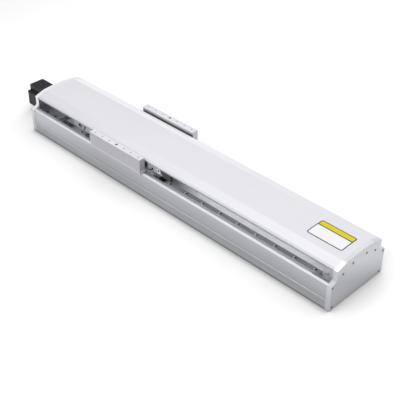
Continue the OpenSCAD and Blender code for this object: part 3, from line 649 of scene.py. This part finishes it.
# The extruded body, with painted light and shade along its sides, its tops and its inside
OUTER_TOP = Ramp(Y, 0.0922, 0.0930, both_sides=True)
INNER_TOP = (Ramp(Y, 0.0852, 0.0857, both_sides=True), Ramp(Y, 0.0922, 0.0917, both_sides=True))
LEDGES = Ramp(Y, 0.0845, 0.0840, both_sides=True)
BETWEEN_WALLS = Ramp(Y, 0.0925, 0.0920, both_sides=True)
BODY_FINISH = ExtrusionFinish(
    "wall_anodised", (0.31, 0.313, 0.333), metal=0.2, roughness=0.48, specular=0.35, top_light=2.2,
    marks=Marks(Grain.ALONG_X, contrast=0.05, stain=0.02, stain_size=0.15),
    edge=Edge((0.92, 0.93, 0.95), wear=0.75, radius=0.0009),
    zones=(
        # painted light on the upright sides
        Zone(1.07, (UPRIGHT_SIDE,)),
        # painted light: lighter towards the top, and the upper band towards the motor
        Zone(1.3, (UPRIGHT_SIDE, Ramp(Z, 0.030, 0.072))),
        Zone(1.25, (UPRIGHT_SIDE, Ramp(X, -0.26, -0.50), Ramp(Z, 0.026, 0.032))),
        # painted shade that dims the line between the bands
        Zone(0.8, (Ramp(Z, 0.0268, 0.0275), Ramp(Z, 0.0325, 0.0318))),
        # painted highlight on the outer top
        Zone(1.1, (OUTER_TOP, Ramp(Z, 0.0705, 0.0712))),
        # painted shade on the upper edge towards the motor
        Zone(0.80, (UPRIGHT_SIDE, Ramp(Z, 0.066, 0.070), Ramp(X, -0.35, -0.50))),
        # painted shadow along the foot
        Zone(0.55, (FOOT_SHADOW,)),
        # painted shade inside towards the motor, and beside the idler
        Zone(0.6, (LEDGES, Ramp(X, -0.08, -0.28))),
        Zone(0.5, (BETWEEN_WALLS, Ramp(X, 0.486, 0.490))),
        # painted shade on the inner tops
        Zone(0.72, (*INNER_TOP, Ramp(Z, 0.0700, 0.0705))),
    ),
)

# The cover, with painted light and shade on its crown and its two slopes
NEAR_FOOT = (NEAR_SLOPE, Ramp(Y, -0.074, -0.080))
COVER_FINISH = Finish(
    "cover_anodised", (0.33, 0.33, 0.35), metal=0.1, roughness=0.55, specular=0.3, bump=0.00001,
    top_light=1.85, marks=Marks(Grain.ALONG_X, contrast=0.012, stain=0.012, stain_size=0.3), edge=BROKEN_EDGE,
    zones=(
        # painted shade on the crown
        Zone(0.98, (LEVEL,)),
        # the near slope: painted light towards the idle end, painted shade at its foot and more so there
        Zone(0.98, (NEAR_SLOPE,)),
        Zone(1.16, (NEAR_SLOPE, Ramp(X, -0.4, 0.5))),
        Zone(0.90, NEAR_FOOT),
        Zone(0.90, (*NEAR_FOOT, Ramp(X, 0.0, 0.3))),
        # the far slope: painted light towards the motor
        Zone(1.03, (FAR_SLOPE,)),
        Zone(1.06, (FAR_SLOPE, Ramp(X, 0.0, -0.5))),
        Zone(1.12, (FAR_SLOPE, Ramp(X, 0.45, 0.0))),
    ),
)

# The end plates, and the brackets that hold the cover's ends, with painted light and shade on their faces
PLATE_MARKS = Marks(contrast=0.02, stain=0.03, stain_size=0.12)
# painted light: where the idle plate's end face is painted lighter, towards its far top
FACE_TO_FAR_TOP = Ramp((0.0, 5.5, 12.86), 0.46, 1.16)
END_FINISHES = (
    Finish("drive_plate_anodised", (0.80, 0.80, 0.83), metal=0.25, roughness=0.42, bump=0.00001,
           marks=PLATE_MARKS, edge=BROKEN_EDGE, zones=(
               # painted shade on the outer sides and towards the bottom, and a painted shadow along the foot
               Zone(0.74, (UPRIGHT_SIDE, Ramp(Y, 0.092, 0.096, both_sides=True))),
               Zone(0.78, (UPRIGHT_SIDE, Ramp(Z, 0.070, 0.010))),
               Zone(0.6, (FOOT_SHADOW,)),
               # painted shade on its inner face below the slots
               Zone(0.4, (IDLE_FACE, Ramp(Z, 0.075, 0.072))),
           )),
    Finish("plate_anodised", (0.55, 0.555, 0.585), metal=0.2, roughness=0.45, bump=0.00001,
           marks=PLATE_MARKS, edge=BROKEN_EDGE, zones=(
               # painted light and shade on the end face, the tops and the sides, with a painted highlight on
               # the near slope's chamfer
               Zone(0.88, (IDLE_FACE,)),
               Zone(1.38, (IDLE_FACE, FACE_TO_FAR_TOP)),
               Zone(1.14, (LEVEL,)),
               Zone(1.52, (LEVEL, NEAR_SLOPE, Ramp(Z, 0.09, 0.095))),
               Zone(0.90, (LEVEL, FAR_SLOPE)),
               Zone(0.82, (UPRIGHT_SIDE, Ramp(Z, 0.080, 0.030))),
           )),
    Finish("bracket_coated", (0.05, 0.054, 0.064), metal=0.3, roughness=0.45,
           marks=COAT, edge=Edge((0.30, 0.32, 0.35)),
           # painted light on the end faces, painted shade on the sides
           zones=(Zone(3.2, (IDLE_FACE,)), Zone(0.6, (UPRIGHT_SIDE,)))),
    Finish("bracket_milled", (0.40, 0.405, 0.425), metal=0.3, roughness=0.40,
           marks=TURNED, edge=Edge(MILLED_EDGE.colour, wear=0.5)),
)

# The carriage's table, side bars and corner plates, with painted light and shade, and dark discs painted as
# holes
# painted shade: dark discs and a dark slot painted on the corner plates, as the shade in holes
BIG_HOLE = Disc((-0.3456, 0.0, 0.0960), (0.8, 0.0, 1.0), 0.0064)
SMALL_HOLE = Disc((-0.0280, 0.0, 0.0962), (1.0, 0.0, 0.8), 0.0034)
SLANT = (1.0, 0.0, -0.5)
INNER_SIDE = (UPRIGHT_SIDE, Ramp(Y, 0.0895, 0.0886, both_sides=True))
# painted shade: dark discs painted on the table as holes
HOLE_SHADE_ON_TOP = Disc((-0.061, 0.080, 0.0), (1.0, 1.0, 0.0), 0.0028)
HOLE_SHADE_ON_SIDE = Disc((-0.053, 0.0, 0.0802), (1.0, 0.0, 1.0), 0.0027)
CARRIAGE_FINISHES = (
    Finish("corner_plate", (0.34, 0.345, 0.365), metal=0.2, roughness=0.45,
           marks=Marks(contrast=0.03, stain=0.03, stain_size=0.05), edge=PALE_EDGE,
           zones=(
               # painted shade towards the motor
               Zone(0.75, (Ramp(X, -0.30, -0.38),)),
               Zone(0.08, (BIG_HOLE,)),
               # the small hole: a painted highlight ring, and painted shade inside
               Zone(2.2, (replace(SMALL_HOLE, radius=0.0060),)),
               Zone(0.04, (SMALL_HOLE,)),
               # painted shade: the slanted slot
               Zone(0.15, (Ramp(SLANT, -0.3777, -0.3769), Ramp(SLANT, -0.3708, -0.3716),
                           Ramp(Z, 0.0880, 0.0888))),
           )),
    Finish("bar_anodised", (0.40, 0.40, 0.43), metal=0.20, roughness=0.45, top_light=1.70,
           marks=Marks(Grain.ALONG_X, contrast=0.03, stain=0.02, stain_size=0.1),
           edge=Edge((0.98, 0.98, 1.0), wear=0.7, radius=0.0007), zones=(
               # painted light on the inner side, painted shade on its lower part
               Zone(1.65, INNER_SIDE),
               Zone(0.12, (*INNER_SIDE, Ramp(Z, 0.1165, 0.1065))),
               # painted light on the rear bar's end, painted shade on the rim of its top
               Zone(1.48, (IDLE_FACE, Ramp(Y, 0.0, 0.01))),
               Zone(0.88, (LEVEL, Ramp(Y, 0.098, 0.104))),
               # painted light on the outer side, at its foot
               Zone(1.25, (UPRIGHT_SIDE, Ramp(Y, 0.1, 0.101, both_sides=True), Ramp(Z, 0.084, 0.078))),
           )),
    Finish("table_milled", (0.34, 0.35, 0.36), metal=0.4, roughness=0.42,
           marks=Marks(Grain.ALONG_X, contrast=0.06), edge=MILLED_EDGE, zones=(
               # painted shade on the sides, painted light on the end faces, and dark discs painted as holes
               Zone(0.60, (UPRIGHT_SIDE, Ramp(Y, 0.0860, 0.0870, both_sides=True))),
               Zone(2.0, (BOTH_END_FACES,)),
               Zone(0.12, (HOLE_SHADE_ON_TOP, LEVEL)),
               Zone(0.12, (HOLE_SHADE_ON_SIDE, UPRIGHT_SIDE)),
           )),
)

# The rails, their blocks and the blocks' plastic caps, with painted light and shade
# painted highlight rings round the rails' screw seats, and a dark disc painted as a hole on a block
SCREW_SEAT = Disc((0.4774, 0.0664, 0.0), (1.0, 1.0, 0.0), 0.0048, pitch=0.060)
HOLE_SHADE_ON_BLOCK = Disc((-0.0366, 0.0794, 0.0), (1.0, 1.0, 0.0), 0.0026)
PLASTIC = Finish("moulded_plastic", (0.014, 0.014, 0.015), edge=Edge((0.08, 0.08, 0.08), wear=0.4),
                 marks=Marks(contrast=0.06, stain=0.06, stain_size=0.03))
GUIDE_FINISHES = (
    Finish("rail_ground", (0.405, 0.42, 0.455), metal=0.65, roughness=0.34,
           marks=Marks(Grain.ALONG_X, contrast=0.07, stain_size=0.1),
           edge=Edge((0.95, 0.95, 0.97), wear=0.9, radius=0.0009), zones=(
               # painted shadow beside the drive's housing, painted light beside the carriage
               Zone(0.3, (Ramp(X, -0.452, -0.442), Ramp(X, -0.395, -0.405))),
               Zone(1.9, (Ramp(X, 0.06, 0.02), Ramp(X, -0.40, -0.38))),
               # painted highlight round the screw seats
               Zone(2.3, (SCREW_SEAT, LEVEL)),
           )),
    Finish("block_ground", (0.32, 0.33, 0.35), metal=0.9, roughness=0.28,
           marks=Marks(Grain.ALONG_X, contrast=0.06, stain_size=0.05), edge=MILLED_EDGE,
           # painted light on the blocks' tops, and a dark disc painted as a hole
           zones=(Zone(3.0, (LEVEL,)), Zone(0.15, (HOLE_SHADE_ON_BLOCK, LEVEL)))),
    # painted light: the caps on the motor's side are painted lighter
    replace(PLASTIC, name="caps_moulded", zones=(Zone(7.0, (Ramp(X, -0.25, -0.30),)),)),
    PLASTIC,
)

# The motor, the drive under the cover and the idler
DRIVE_FINISHES = (
    Finish("motor_enamel", (0.017, 0.017, 0.018), roughness=0.52, bump=0.00008, marks=COAT,
           edge=Edge((0.12, 0.12, 0.125), wear=0.5, radius=0.0012), zones=(
               # painted light on the tops, painted shade on the sides
               Zone(1.5, (LEVEL,)),
               Zone(0.6, (UPRIGHT_SIDE,)),
               # painted shade on the sides of its rear end
               Zone(0.5, (UPRIGHT_SIDE, Ramp(X, -0.618, -0.632))),
           )),
    Finish("housing_coated", (0.20, 0.215, 0.245), metal=0.3, roughness=0.45, marks=COAT,
           edge=Edge((0.35, 0.37, 0.40), wear=0.4)),
    Finish("idler_milled", (0.88, 0.885, 0.90), metal=0.1, roughness=0.42, marks=Marks(Grain.ALONG_X),
           edge=PALE_EDGE),
    Finish("shaft_turned", (0.52, 0.52, 0.54), metal=1.0, roughness=0.25,
           marks=replace(TURNED, contrast=0.05)),
    Finish("pulley_turned", (0.55, 0.555, 0.585), metal=0.3, roughness=0.40, marks=TURNED,
           edge=PALE_EDGE),
    Finish("gear_hobbed", (0.30, 0.30, 0.32), metal=1.0, roughness=0.35,
           marks=Marks(contrast=0.10, stain=0.08, stain_size=0.02), edge=Edge((0.7, 0.7, 0.7), wear=0.6)),
    Finish("belt_compound", (0.018, 0.018, 0.020), roughness=0.60, edge=Edge((0.08, 0.08, 0.08)),
           marks=Marks(Grain.ALONG_Y, contrast=0.10, stain=0.06, stain_size=0.05)),
)

# Screws, grease nipples and rubber
RUBBER = Marks(Grain.COARSE, contrast=0.08, stain=0.10, stain_size=0.03)
SMALL_FINISHES = (
    Finish("black_oxide", (0.020, 0.020, 0.022), metal=0.6, roughness=0.42,
           marks=Marks(contrast=0.10, stain=0.10, stain_size=0.01),
           edge=Edge((0.25, 0.25, 0.26), wear=0.5, radius=FINE_EDGE)),
    Finish("steel_screws", (0.13, 0.13, 0.14), metal=0.6, roughness=0.40,
           marks=Marks(contrast=0.08, stain=0.08, stain_size=0.01),
           edge=Edge((0.4, 0.4, 0.42), wear=0.6, radius=FINE_EDGE)),
    Finish("zinc_plated", (0.70, 0.71, 0.73), metal=1.0, roughness=0.22,
           marks=Marks(stain=0.05, stain_size=0.01), edge=Edge(radius=FINE_EDGE)),
    Finish("brass_turned", (0.62, 0.45, 0.18), metal=1.0, roughness=0.26,
           marks=Marks(stain=0.06, stain_size=0.01), edge=Edge(radius=FINE_EDGE)),
    Finish("wiper_rubber", (0.034, 0.034, 0.036), roughness=0.62, bump=0.00010, marks=RUBBER,
           edge=Edge((0.10, 0.10, 0.10))),
    Finish("moulded_rubber", (0.012, 0.012, 0.012), roughness=0.68, bump=0.00010, marks=RUBBER,
           edge=Edge((0.06, 0.06, 0.06))),
)


class Finishes:
    """All the axis's finishes, built once."""

    def __init__(self) -> None:
        """Builds every finish."""
        made = (BODY_FINISH, COVER_FINISH, *END_FINISHES, *CARRIAGE_FINISHES, *GUIDE_FINISHES,
                *DRIVE_FINISHES, *SMALL_FINISHES)
        self._made = {finish.name: finish.build() for finish in made}

    def __getitem__(self, name: str) -> bpy.types.Material:
        """Gives a finish's material by its name."""
        return self._made[name]


# ---------------- what repeats


@dataclass
class SocketScrews:
    """A set of like cap screws, each with a chamfered head and a hex socket, made by Geometry Nodes.

    A screw's place and length are taken from the CAD node that it stands for. The heads look one way in the
    motor's half of the axis and another in the idler's.
    """

    node: str
    body: str
    slot: str
    looks: tuple[Side, Side]
    material: bpy.types.Material
    head_height: float = 0.004
    chamfer: float = 0.0004
    shank_share: float = 0.5
    socket_share: float = 0.58
    socket_depth_share: float = 0.55
    shank_start_share: float = 0.9
    head_sides: int = 32
    shank_sides: int = 20

    def tree(self, sizes: dict[str, float]) -> bpy.types.NodeTree:
        """Builds the node tree of one set.

        Args:
            sizes: the names of its inputs, with their values.

        Returns:
            The tree.
        """
        tree = bpy.data.node_groups.new(f"{self.node}_tree", "GeometryNodeTree")
        face = tree.interface
        face.new_socket("Geometry", in_out="INPUT", socket_type="NodeSocketGeometry")
        for name, size in sizes.items():
            face.new_socket(name, in_out="INPUT", socket_type="NodeSocketFloat").default_value = size
        face.new_socket("Geometry", in_out="OUTPUT", socket_type="NodeSocketGeometry")
        add = partial(add_node, tree)
        given = add("NodeGroupInput", {}).outputs

        def value(operation: str, first: object, second: object) -> Socket:
            """Adds one sum of two sockets or numbers."""
            return add("ShaderNodeMath", {0: first, 1: second}, operation=operation).outputs[0]

        def tube(sides: int, bottom: Socket, top: Socket, low: Socket, height: Socket) -> Socket:
            """Adds a closed cone or cylinder that stands at a height."""
            cone = add("GeometryNodeMeshCone", {
                "Vertices": sides, "Radius Bottom": bottom, "Radius Top": top, "Depth": height})
            place = add("ShaderNodeCombineXYZ", {"Z": low})
            shift = add("GeometryNodeTransform", {
                "Geometry": cone.outputs["Mesh"], "Translation": place.outputs[0]})
            return shift.outputs["Geometry"]

        def boolean(operation: str, first: Socket, second: Socket) -> Socket:
            """Joins two closed shapes, or takes the second from the first."""
            first_input = 0 if operation == "DIFFERENCE" else 1
            made = add("GeometryNodeMeshBoolean", {first_input: first}, operation=operation, solver="EXACT")
            feed(tree, made.inputs[1], second)
            return made.outputs["Mesh"]

        # The head's top lies at the point; everything else reaches down from it
        head, tall, thin, whole, cut = (given[name] for name in sizes)
        foot = value("MULTIPLY", tall, -1.0)
        straight = tube(self.head_sides, head, head, foot, value("SUBTRACT", tall, cut))
        rim = tube(self.head_sides, head, value("SUBTRACT", head, cut), value("MULTIPLY", cut, -1.0), cut)
        reach = value("SUBTRACT", whole, value("MULTIPLY", tall, self.shank_start_share))
        shank = tube(self.shank_sides, thin, thin, value("MULTIPLY", whole, -1.0), reach)
        recess = value("MULTIPLY", head, self.socket_share)
        deep = value("MULTIPLY", tall, self.socket_depth_share)
        hexagon = tube(6, recess, recess, value("MULTIPLY", deep, -1.0), value("MULTIPLY", deep, 2.0))
        screw = boolean("DIFFERENCE", boolean("UNION", boolean("UNION", straight, rim), shank), hexagon)
        way = add("GeometryNodeInputNamedAttribute", {"Name": "head_way"}, data_type="FLOAT_VECTOR")
        turn = add("FunctionNodeAlignRotationToVector", {"Vector": way.outputs["Attribute"]}, axis="Z")
        points = add("GeometryNodeMeshToPoints", {"Mesh": given["Geometry"]})
        spread = add("GeometryNodeInstanceOnPoints", {
            "Points": points.outputs["Points"], "Instance": screw, "Rotation": turn.outputs["Rotation"]})
        real = add("GeometryNodeRealizeInstances", {"Geometry": spread.outputs["Instances"]})
        finish = add("GeometryNodeSetMaterial", {
            "Geometry": real.outputs["Geometry"], "Material": self.material})
        add("NodeGroupOutput", {"Geometry": finish.outputs["Geometry"]})
        return tree

    def build(self) -> bpy.types.Object:
        """Makes the set and hides the CAD node that it stands for.

        Returns:
            One mesh with every screw of the set.
        """
        tops, ways, sizes = [], [], []
        for lo, hi in solids_of(self.node):
            middle = (lo + hi) / 2
            way = self.looks[middle.x > 0].vector
            axis = max(range(3), key=lambda k: abs(way[k]))
            top = middle.copy()
            top[axis] = hi[axis] if way[axis] > 0 else lo[axis]
            across = 1 if axis == 0 else 0
            tops.append(top)
            ways.append(way)
            sizes.append(((hi - lo)[across] / 2, (hi - lo)[axis]))
        radius, length = sizes[0]
        mesh = bpy.data.meshes.new(f"{self.node}_points")
        mesh.from_pydata([tuple(t) for t in tops], [], [])
        attribute = mesh.attributes.new("head_way", "FLOAT_VECTOR", "POINT")
        for k, way in enumerate(ways):
            attribute.data[k].vector = way
        seed = into_scene(f"{self.node}_seed", mesh)
        modifier = seed.modifiers.new("screws", "NODES")
        modifier.node_group = self.tree({
            "Head Radius": radius,
            "Head Height": self.head_height,
            "Shank Radius": radius * self.shank_share,
            "Length": length,
            "Chamfer": self.chamfer,
        })
        graph = bpy.context.evaluated_depsgraph_get()
        made = bpy.data.meshes.new_from_object(seed.evaluated_get(graph))
        made.name = f"{self.node}_mesh"
        bpy.data.objects.remove(seed)
        piece = add_object(f"{self.node}_detailed", made, self.body)
        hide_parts(self.node)
        return piece


# ---------------- sub-assemblies


@dataclass
class SubAssembly:
    """A group of CAD nodes; it says which nodes wear each finish, and it can add pieces of its own."""

    finishes: Finishes
    worn_by: ClassVar[dict[str, tuple[str, ...]]] = {}

    def build(self) -> list[str]:
        """Dresses the group's nodes and adds its own pieces.

        Returns:
            The names of all of them.
        """
        dressed = []
        for finish, names in self.worn_by.items():
            for name in names:
                dress(name, self.finishes[finish])
                dressed.append(name)
        return dressed + [piece.name for piece in self.own_pieces()]

    def own_pieces(self) -> list[bpy.types.Object]:
        """Makes the pieces that aren't CAD nodes; a group has none unless it says so."""
        return []


@dataclass
class BodyShell(SubAssembly):
    """The extruded body, its cover, both end plates and their screws."""

    worn_by = {
        "wall_anodised": ("base_extrusion",),
        "cover_anodised": ("top_cover",),
        "drive_plate_anodised": ("drive_end_plate",),
        "plate_anodised": ("idle_end_plate",),
        "bracket_coated": ("drive_cover_brackets",),
        "bracket_milled": ("idle_cover_brackets",),
    }
    crown_half: float = 0.052
    crown_rise: float = 0.003
    plate_centre: Span = (0.46795, -0.00015)
    plate_size: Span = (0.1020, 0.0615)
    plate_corner: float = 0.0060
    plate_height: float = 0.00012
    corner_steps: int = 6
    flat_steps: int = 24

    def own_pieces(self) -> list[bpy.types.Object]:
        """Makes the end plates' screws and the blank plate."""
        screws = SocketScrews("end_plate_screws", "base", "black_screws", (Side.LEFT, Side.RIGHT),
                              self.finishes["steel_screws"])
        return [screws.build(), self.blank_plate()]

    def crown(self, y: float) -> float:
        """Gives the height of the cover's crown, an arc that rises between its two edges.

        Args:
            y: how far a point lies from the middle plane.

        Returns:
            The height of the cover there.
        """
        radius = (self.crown_half**2 + self.crown_rise**2) / (2 * self.crown_rise)
        return node_box("top_cover")[1].z - radius + math.sqrt(radius**2 - y**2)

    def plate_half_length(self, v: float) -> float:
        """Gives the plate's half length, which its round corners shorten.

        Args:
            v: how far the line that is asked for lies from the plate's middle line.

        Returns:
            Half of the plate's length on that line.
        """
        (length, width), corner = self.plate_size, self.plate_corner
        over = abs(v) - (width / 2 - corner)
        return length / 2 - (corner - math.sqrt(max(corner**2 - over**2, 0.0)) if over > 0 else 0.0)

    def blank_plate(self) -> bpy.types.Object:
        """Makes the bare two-tone plate that lies on the crown near the idle end.

        Returns:
            The plate.
        """
        (cx, cy), (length, width), corner = self.plate_centre, self.plate_size, self.plate_corner
        quarter, flat = math.pi / 2, width - 2 * corner
        turns = [quarter * k / self.corner_steps for k in range(self.corner_steps + 1)]
        round_part = [-width / 2 + corner * (1 - math.cos(turn)) for turn in turns]
        flat_part = [-flat / 2 + flat * k / self.flat_steps for k in range(1, self.flat_steps)]
        mesh = bmesh.new()
        uv = mesh.loops.layers.uv.new("plate")
        lines = []
        for v in round_part + flat_part + [-v for v in reversed(round_part)]:
            half, y = self.plate_half_length(v), cy + v
            low = self.crown(y)
            lines.append([[mesh.verts.new((cx + s * half, y, low + h)) for s in (-1, 1)]
                          for h in (0.0, self.plate_height)])
        for near, far in zip(lines, lines[1:]):
            mesh.faces.new((near[1][0], near[1][1], far[1][1], far[1][0]))
            mesh.faces.new((near[0][1], near[0][0], far[0][0], far[0][1]))
            mesh.faces.new((near[0][0], near[1][0], far[1][0], far[0][0]))
            mesh.faces.new((near[1][1], near[0][1], far[0][1], far[1][1]))
        for ends in (lines[0], lines[-1]):
            mesh.faces.new((ends[0][0], ends[0][1], ends[1][1], ends[1][0]))
        bmesh.ops.recalc_face_normals(mesh, faces=mesh.faces)
        for face in mesh.faces:
            for loop in face.loops:
                loop[uv].uv = (loop.vert.co.x - cx, loop.vert.co.y - cy)
        data = bpy.data.meshes.new("blank_plate")
        mesh.to_mesh(data)
        mesh.free()
        data.materials.append(BlankPlateFinish("blank_plate_film", length, width, corner).build())
        return add_object("blank_plate", data, "base")


@dataclass
class RailPair(SubAssembly):
    """Both rails and their screws."""

    worn_by = {"rail_ground": ("front_rail", "rear_rail")}

    def own_pieces(self) -> list[bpy.types.Object]:
        """Makes the rails' screws."""
        return [SocketScrews("rail_screws", "base", "black_screws", (Side.UP, Side.UP),
                             self.finishes["black_oxide"]).build()]


@dataclass
class DriveEnd(SubAssembly):
    """The drive's bearing block with its shafts, bevel gears and pulley."""

    worn_by = {
        "housing_coated": ("drive_housing", "bearing_caps"),
        "shaft_turned": ("drive_bearings", "input_bearings", "drive_shaft", "motor_shaft"),
        "pulley_turned": ("drive_pulley",),
        "gear_hobbed": ("drive_bevel_wheel", "input_bevel_pinion"),
        "moulded_rubber": ("drive_bumpers",),
    }
    screw_head_height: float = 0.006

    def own_pieces(self) -> list[bpy.types.Object]:
        """Makes the housing's screws."""
        return [SocketScrews("drive_housing_screws", "base", "bright_screws", (Side.UP, Side.UP),
                             self.finishes["zinc_plated"], head_height=self.screw_head_height).build()]


class BeltAndIdler(SubAssembly):
    """The belt with its idler, and the screws that tighten it."""

    worn_by = {
        "belt_compound": ("toothed_belt",),
        "idler_milled": ("idler_housing",),
        "shaft_turned": ("idler_axle", "idler_bearings"),
        "pulley_turned": ("idler_pulley",),
        "black_oxide": ("idler_housing_screws", "tension_screws"),
        "moulded_rubber": ("idle_bumpers",),
    }


class Motor(SubAssembly):
    """The motor that stands in line behind the drive end plate."""

    worn_by = {
        "motor_enamel": ("motor_flange", "motor_body", "motor_rear_cover", "motor_terminal_box"),
        "moulded_plastic": ("motor_connectors",),
        "black_oxide": ("motor_screws",),
    }


class Carriage(SubAssembly):
    """The carriage: table, side bars, guide blocks, belt clamps and wipers."""

    worn_by = {
        "table_milled": ("carriage_table",),
        "bar_anodised": ("front_side_bar", "rear_side_bar"),
        "block_ground": ("front_left_guide_block", "front_right_guide_block", "rear_left_guide_block",
                         "rear_right_guide_block", "belt_clamp_blocks", "belt_clamp_jaws"),
        "caps_moulded": ("block_end_caps",),
        "moulded_rubber": ("block_end_seals",),
        "brass_turned": ("grease_nipples",),
        "black_oxide": ("side_bar_screws", "block_screws", "belt_clamp_screws", "wiper_screws"),
        "corner_plate": ("wiper_brackets",),
        "wiper_rubber": ("wiper_pads",),
    }


@dataclass(frozen=True)
class SoftLight:
    """A rectangular light that neither the camera nor a reflection shows; it is square without a height."""

    name: str
    place: Place
    target: Place
    width: float
    power: float
    height: float = 0.0

    def hang(self) -> None:
        """Adds the light, looking at its target."""
        data = bpy.data.lights.new(self.name, "AREA")
        data.shape = "RECTANGLE"
        data.size, data.size_y, data.energy = self.width, self.height or self.width, self.power
        light = into_scene(self.name, data)
        light.location = self.place
        light.visible_camera = light.visible_glossy = False
        light.rotation_euler = (Vector(self.target) - Vector(self.place)).to_track_quat("-Z", "Y").to_euler()


@dataclass
class Studio:
    """Pale floor with a painted contact shadow, soft lights and the camera.

    Two slot lights on each side hang inside the cover, above the rail; each has a place along X, a length and
    a power.
    """

    camera_place: Place = (1.373, -1.346, 1.375)
    right: Place = (0.7086, 0.7056, 0.0049)
    down: Place = (0.4178, -0.4138, -0.8088)
    lens: float = 79.7
    sensor: float = 36.0
    floor_half: float = 6.0
    floor_colours: tuple[Colour, Colour] = ((0.80, 0.80, 0.80), (0.82, 0.82, 0.82))
    floor_spots: Place = (2.0, 2.0, 2.0)
    # painted shadow: how near the body darkens the floor, and how much
    contact_reach: float = 0.02
    contact_range: Span = (0.45, 0.95)
    contact_shadow: float = 0.42
    past_idle_end: Zone = Zone(0.3, (Ramp(X, 0.548, 0.552),))
    world_strength: float = 0.08
    room_lights: tuple[SoftLight, ...] = (
        SoftLight("ceiling_light", (0.0, 0.2, 2.4), (0.0, 0.2, 0.0), width=4.2, power=90.0),
        SoftLight("front_light", (0.0, -1.95, 1.75), (0.0, 0.0, 0.06), width=3.2, power=46.0, height=1.1),
        SoftLight("rear_light", (-0.3, 2.3, 1.3), (0.0, 0.0, 0.08), width=3.2, power=34.0, height=0.8),
        SoftLight("end_light", (1.25, 0.75, 0.5), (0.55, 0.12, 0.06), width=0.5, power=1.6),
    )
    slot_lights: tuple[tuple[float, float, float], ...] = ((0.280, 0.46, 0.088), (-0.47, 0.13, 0.016))
    slot_y: float = 0.045
    slot_z: float = 0.106
    slot_light_width: float = 0.012

    def build(self) -> list[str]:
        """Sets up the room.

        Returns:
            What was made.
        """
        self.floor()
        self.world()
        for light in self.room_lights:
            light.hang()
        for y in (-self.slot_y, self.slot_y):
            for x, length, power in self.slot_lights:
                place, target = (x, y, self.slot_z), (x, y, 0.0)
                SoftLight("slot_light", place, target, length, power, self.slot_light_width).hang()
        self.camera()
        return ["floor", "lights", "camera"]

    def floor(self) -> None:
        """Lays the pale floor."""
        data, half = bpy.data.meshes.new("floor"), self.floor_half
        corners = [(-half, -half, 0), (half, -half, 0), (half, half, 0), (-half, half, 0)]
        data.from_pydata(corners, [], [(0, 1, 2, 3)])
        data.materials.append(self.floor_paint())
        floor = into_scene("floor", data)

    def floor_paint(self) -> bpy.types.Material:
        """Makes the floor's paint with a painted shadow, which is darker where the body stands on it and less
        so past its idle end.

        Returns:
            The finished node material.
        """
        g = Graph("floor_paint")
        spots = g.noise(self.floor_spots)
        paint = g.mix(g.remap(spots, NOISE_RANGE, FULL), *self.floor_colours)
        near = g.node("ShaderNodeAmbientOcclusion", {"Distance": self.contact_reach}, samples=8)
        contact = g.remap(near.outputs["AO"], self.contact_range, (self.contact_shadow, 0.0))
        shadow_share = self.past_idle_end.apply(g, contact)
        return g.surface({
            "Base Color": g.mix(shadow_share, paint, (0.0, 0.0, 0.0)), "Roughness": 0.9, "Specular IOR Level": 0.1})

    def world(self) -> None:
        """Lights the room evenly."""
        world = bpy.data.worlds.new("studio")
        bpy.context.scene.world = world
        world.use_nodes = True
        back = world.node_tree.nodes["Background"]
        back.inputs["Color"].default_value = (1.0, 1.0, 1.0, 1.0)
        back.inputs["Strength"].default_value = self.world_strength

    def camera(self) -> None:
        """Places the camera."""
        data = bpy.data.cameras.new("camera")
        data.lens, data.sensor_width = self.lens, self.sensor
        camera = into_scene("camera", data)
        right = Vector(self.right).normalized()
        up = -Vector(self.down).normalized()
        back = right.cross(up).normalized()
        up = back.cross(right)
        turn = Matrix((right, up, back)).transposed().to_4x4()
        camera.matrix_world = Matrix.Translation(Vector(self.camera_place)) @ turn
        bpy.context.scene.camera = camera
        bpy.context.scene.view_settings.view_transform = "Standard"


def main() -> None:
    """Builds every sub-assembly in order and logs what each one made."""
    logging.basicConfig(level=logging.INFO, format="%(message)s")
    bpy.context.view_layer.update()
    finishes = Finishes()
    for part in (BodyShell(finishes), RailPair(finishes), DriveEnd(finishes), BeltAndIdler(finishes),
                 Motor(finishes), Carriage(finishes), Studio()):
        for made in part.build():
            log.info("%s: %s", type(part).__name__, made)


if __name__ == "__main__":
    main()
